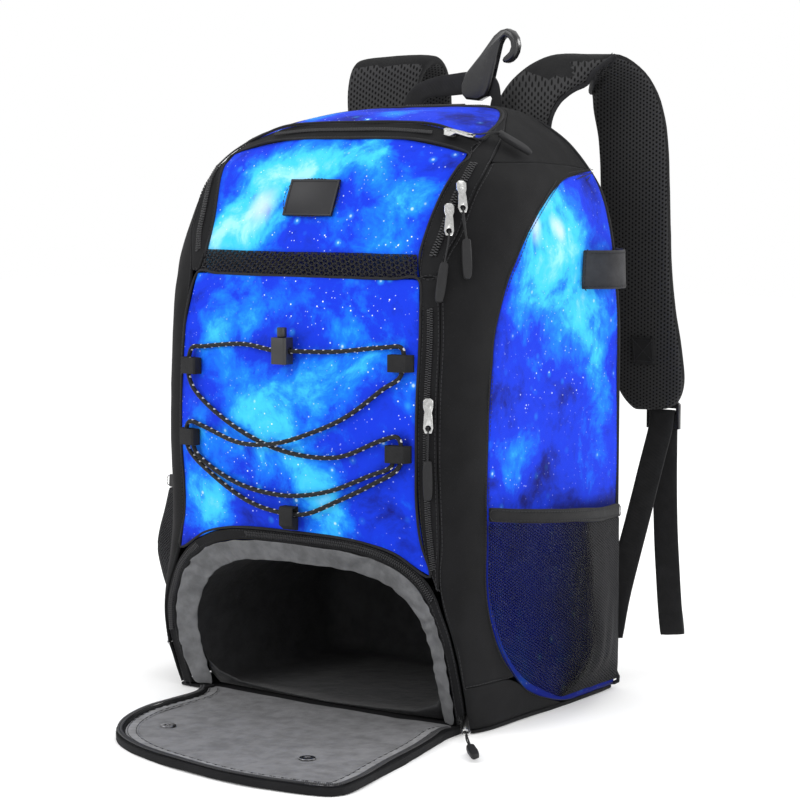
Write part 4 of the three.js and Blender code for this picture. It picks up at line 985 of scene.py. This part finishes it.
# Frames round the flap's free edge, moved out by shift and set at a height.
def flapFrames(pitch, shift, top):
    points = max(seamLines("shoe_flap", upward), key=lambda line: len(line[0]))[0]
    centre = sum(points, Vector()) / len(points)
    result = []
    for at, ahead, _ in framesAlong(points, [upward] * len(points), pitch):
        side = ahead.cross(upward)
        if side.dot(centre - at) > 0:
            side = -side
        moved = at + side * shift
        moved.z = top
        result.append((moved, ahead, upward, at.y < flapEdge["hinge"]))
    start = next(i for i, step in enumerate(result) if not step[3])
    turned = result[start:] + result[1:start + 1]
    return [step[:3] for step in turned if step[3]]


def flapBinding():
    bm = bmesh.new()
    frames = flapFrames(3 * mm, -flapEdge["binding"] * 0.5, flapEdge["top"])
    crimped = []
    for k, (at, ahead, up) in enumerate(frames):
        rise = flapEdge["crimp"] * math.sin(k * flapEdge["crimpTurn"])
        crimped.append((at + up * rise, ahead, up))
    sweep(bm, crimped, flapEdge["binding"], flapEdge["thick"], 12)
    finishPiece("flap_binding", bm, "binding")
    thread = bmesh.new()
    for inset in flapEdge["rows"]:
        for at, ahead, up in flapFrames(stitch["pitch"], -inset, flapEdge["top"]):
            stitchFrames(thread, [(at + up * flapEdge["rowRise"], ahead, up)])
    finishPiece("flap_stitches", thread, "thread")


flapBinding()
print("shoe compartment made")


# Bottle pockets of net: upright puckers that fade towards the hem, the foot and the side seams.
pucker = {"folds": 210, "drift": 4, "driftWave": 0.05, "depth": 0.9 * mm}
puckerFade = {"top": 0.17, "topRun": 0.1, "footRun": 0.03, "side": 0.170, "sideRun": 0.02}


def share(value):
    return max(0.0, min(1.0, value))


def puckers(at):
    drift = pucker["drift"] * noise.noise(at / pucker["driftWave"])
    fold = math.sin(at.y * pucker["folds"] + drift) * pucker["depth"]
    fade = share((puckerFade["top"] - at.z) / puckerFade["topRun"])
    fade *= share(at.z / puckerFade["footRun"])
    fade *= share((abs(at.x) - puckerFade["side"]) / puckerFade["sideRun"])
    return Vector((1 if at.x > 0 else -1, 0, 0)) * fold * fade


for side in ("right", "left"):
    soften("side_pocket_" + side, "net", levels=3, extra=puckers)
    soften("pocket_hem_" + side, "web")
    soften("bat_strap_" + side, "greyWeb", size=0.4 * mm)
    soften("strap_webbing_" + side, "web", size=0.3 * mm)
    harden("ladder_lock_" + side, "gloss", 0.5 * mm)

# Shoulder straps: cloth outside, air mesh on the faces that look at the wearer.
strap = {
    "inner": Vector((0, -1, -0.35)),
    "least": 0.35,
    "outer": Vector((0, 1, 0.2)),
    "piping": 2.4 * mm,
}
# How far each row of stitches lies in from its seam.
seamInset = {
    "strap": 5 * mm,
    "batStrap": 2.4 * mm,
    "hem": 2.2 * mm,
    "panel": 2.0 * mm,
    "label": 1.0 * mm,
}


def strapPad(side):
    node = "shoulder_strap_" + side
    piece = soften(node, ["cloth", "air"], crease=0.25, size=0.8 * mm, wave=50 * mm)
    for face in piece.data.polygons:
        if face.normal.dot(strap["inner"]) > strap["least"]:
            face.material_index = 1
    edgeLines = seamLines(node, strap["outer"])
    piping("strap_edge_" + side, edgeLines, strap["piping"])
    stitches("strap_stitches_" + side, edgeLines, seamInset["strap"])


for side in ("right", "left"):
    strapPad(side)
    stitches("bat_strap_stitches_" + side, seamLines("bat_strap_" + side), seamInset["batStrap"])
    stitches("hem_stitches_" + side, seamLines("pocket_hem_" + side), seamInset["hem"])
soften("carry_handle", "web", crease=0.5, size=0.4 * mm)
harden("fence_hook", "gloss", 0.6 * mm)
print("straps made")

for name in ("main_upper", "main_lower", "pocket", "brow", "shoe"):
    harden("zip_slider_" + name, "nickel", 0.25 * mm)
    soften("zip_cord_" + name, "rubber", crease=0.2, size=0.0)
for name in ("upper_right", "lower_right", "upper_left", "lower_left", "bottom"):
    harden("cord_tab_" + name, "web", 0.3 * mm)
harden("cord_lock", "plastic", 0.5 * mm)
harden("cord_lock_plunger", "plastic", 0.5 * mm)
harden("label_patch", "label", 0.4 * mm)


# Bungee cords: the routes on the pocket's face, across, height and stand-off, in millimetres.
bungee = {
    "bungee_cord": [
        (-5, 311, 7.5), (-14, 311, 7.3), (-50, 314, 3), (-94, 310, 3.4), (-110, 306.5, 5),
        (-110, 282.5, 5), (-92, 264, 3.4), (-45, 241, 3), (5, 227, 3), (55, 226, 3), (96, 242, 3.4),
        (113, 244.5, 5), (113, 221.5, 5), (86, 205, 3.4), (50, 188, 3), (20, 176, 5.4), (-12, 176, 5.4),
        (-46, 183, 3), (-84, 202, 3.4), (-110, 221.5, 5), (-110, 244, 5), (-88, 241, 3.4),
        (-44, 232, 7.8), (-4, 234, 7.8), (34, 246, 3.4), (66, 261, 3), (96, 283, 3.4), (113, 295, 5),
        (113, 316.5, 5), (94, 317, 3.4), (50, 312, 3), (14, 311, 7.3), (5, 311, 7.5),
    ],
    "bungee_cord_lower": [
        (-102.5, 238, 5), (-102.5, 222, 5), (-88, 210, 3.4), (-48, 195, 3), (0, 190, 3), (45, 197, 3),
        (86, 213, 3.4), (106.4, 222, 5), (106.4, 238, 5),
    ],
}
cordThickness = 3.9 * mm


def curveThrough(rows, parts):
    result = []
    for i in range(len(rows) - 1):
        near = [Vector(rows[min(max(k, 0), len(rows) - 1)]) for k in (i - 1, i, i + 1, i + 2)]
        result += [curved(*near, k / parts) for k in range(parts)]
    return result + [Vector(rows[-1])]


# Lays each route on the pocket's face: a ray from the front finds the cloth behind every place.
def bungeeCords():
    net = copyOf("pocket_front")
    tree = BVHTree.FromBMesh(net)
    net.free()
    for name, rows in bungee.items():
        points = []
        for spot in curveThrough(rows, 4):
            hit = tree.ray_cast(Vector((spot.x * mm, -0.5, spot.y * mm)), Vector((0, 1, 0)))[0]
            if hit:
                points.append(hit - Vector((0, spot.z * mm, 0)))
        bm = bmesh.new()
        frames = framesAlong(points, [Vector((0, -1, 0))] * len(points), 2.4 * mm)
        sweep(bm, frames, cordThickness, cordThickness, 10)
        print(name, "length", round(lengthOf(points), 3))
        finishPiece(name + "_braid", bm, "braid", (name,))


bungeeCords()
print("fittings made")

# Coils of the zips, and how much bigger or smaller each is than the plain one.
zipScales = {"main_zip": 1.25, "brow_zip": 0.9, "pocket_zip": 1.0, "shoe_zip": 1.0}
stitches("label_stitches", seamLines("label_patch"), seamInset["label"], 0.0)
for name, scale in zipScales.items():
    zipCoil(name, midLine(name), scale=scale)
    stitches(name + "_stitches", seamLines(name), seamInset["panel"])
flapLine = flapFrames(3 * mm, flapEdge["coil"], flapEdge["coilTop"])
zipCoil("flap_zip", [([step[0] for step in flapLine], [step[2] for step in flapLine])], 0.0, 0.9)
for name in ("front_panel", "top_panel", "pocket_front"):
    piping(name + "_piping", seamLines(name), pipe["panel"])
for name in ("gusset_right", "gusset_left", "side_print_right", "side_print_left"):
    stitches(name + "_stitches", seamLines(name), seamInset["panel"])

# A stitched square on the inner face of each strap, where its webbing is sewn in, in millimetres.
# The stitches run round it and along its diagonals.
square = {
    "x": 149,
    "z": 297,
    "half": 12,
    "cells": 10,
    "wall": 1.0,
    "stand": 1.6,
    "seam": 0.8,
    "threadStand": 2.9,
    "pitch": 3.2,
}
seamCorners = [(-1, -1), (1, -1), (1, 1), (-1, 1), (-1, -1), (1, 1), (-1, 1), (1, -1)]


def strapSquare(side):
    sign = 1 if side == "right" else -1
    net = copyOf("shoulder_strap_" + side)
    tree = BVHTree.FromBMesh(net)
    net.free()

    def onStrap(x, z, lift):
        start = Vector((sign * (square["x"] + x) * mm, 0.12, (square["z"] + z) * mm))
        hit = tree.ray_cast(start, Vector((0, 1, 0)))[0]
        return hit - Vector((0, lift * mm, 0)) if hit else None

    bm = bmesh.new()
    cells = square["cells"]
    bmesh.ops.create_grid(bm, x_segments=cells, y_segments=cells, size=square["half"])
    for v in bm.verts:
        v.co = onStrap(v.co.x, v.co.y, square["stand"]) or Vector()
    bmesh.ops.solidify(bm, geom=bm.faces[:], thickness=square["wall"] * mm)
    for face in bm.faces:
        face.smooth = True
    finishPiece("strap_square_" + side, bm, "web")
    rows = bmesh.new()
    reach = square["half"] * square["seam"]
    for a, b in zip(seamCorners, seamCorners[1:]):
        across = [Vector(a).lerp(Vector(b), k / 4) * reach for k in range(5)]
        spots = [onStrap(spot.x, spot.y, square["threadStand"]) for spot in across]
        spots = [spot for spot in spots if spot]
        if len(spots) > 2:
            ways = [Vector((0, -1, 0))] * len(spots)
            stitchFrames(rows, framesAlong(spots, ways, square["pitch"] * mm))
    finishPiece("strap_square_stitches_" + side, rows, "thread")


for side in ("right", "left"):
    strapSquare(side)
print("zips, piping and stitches made")
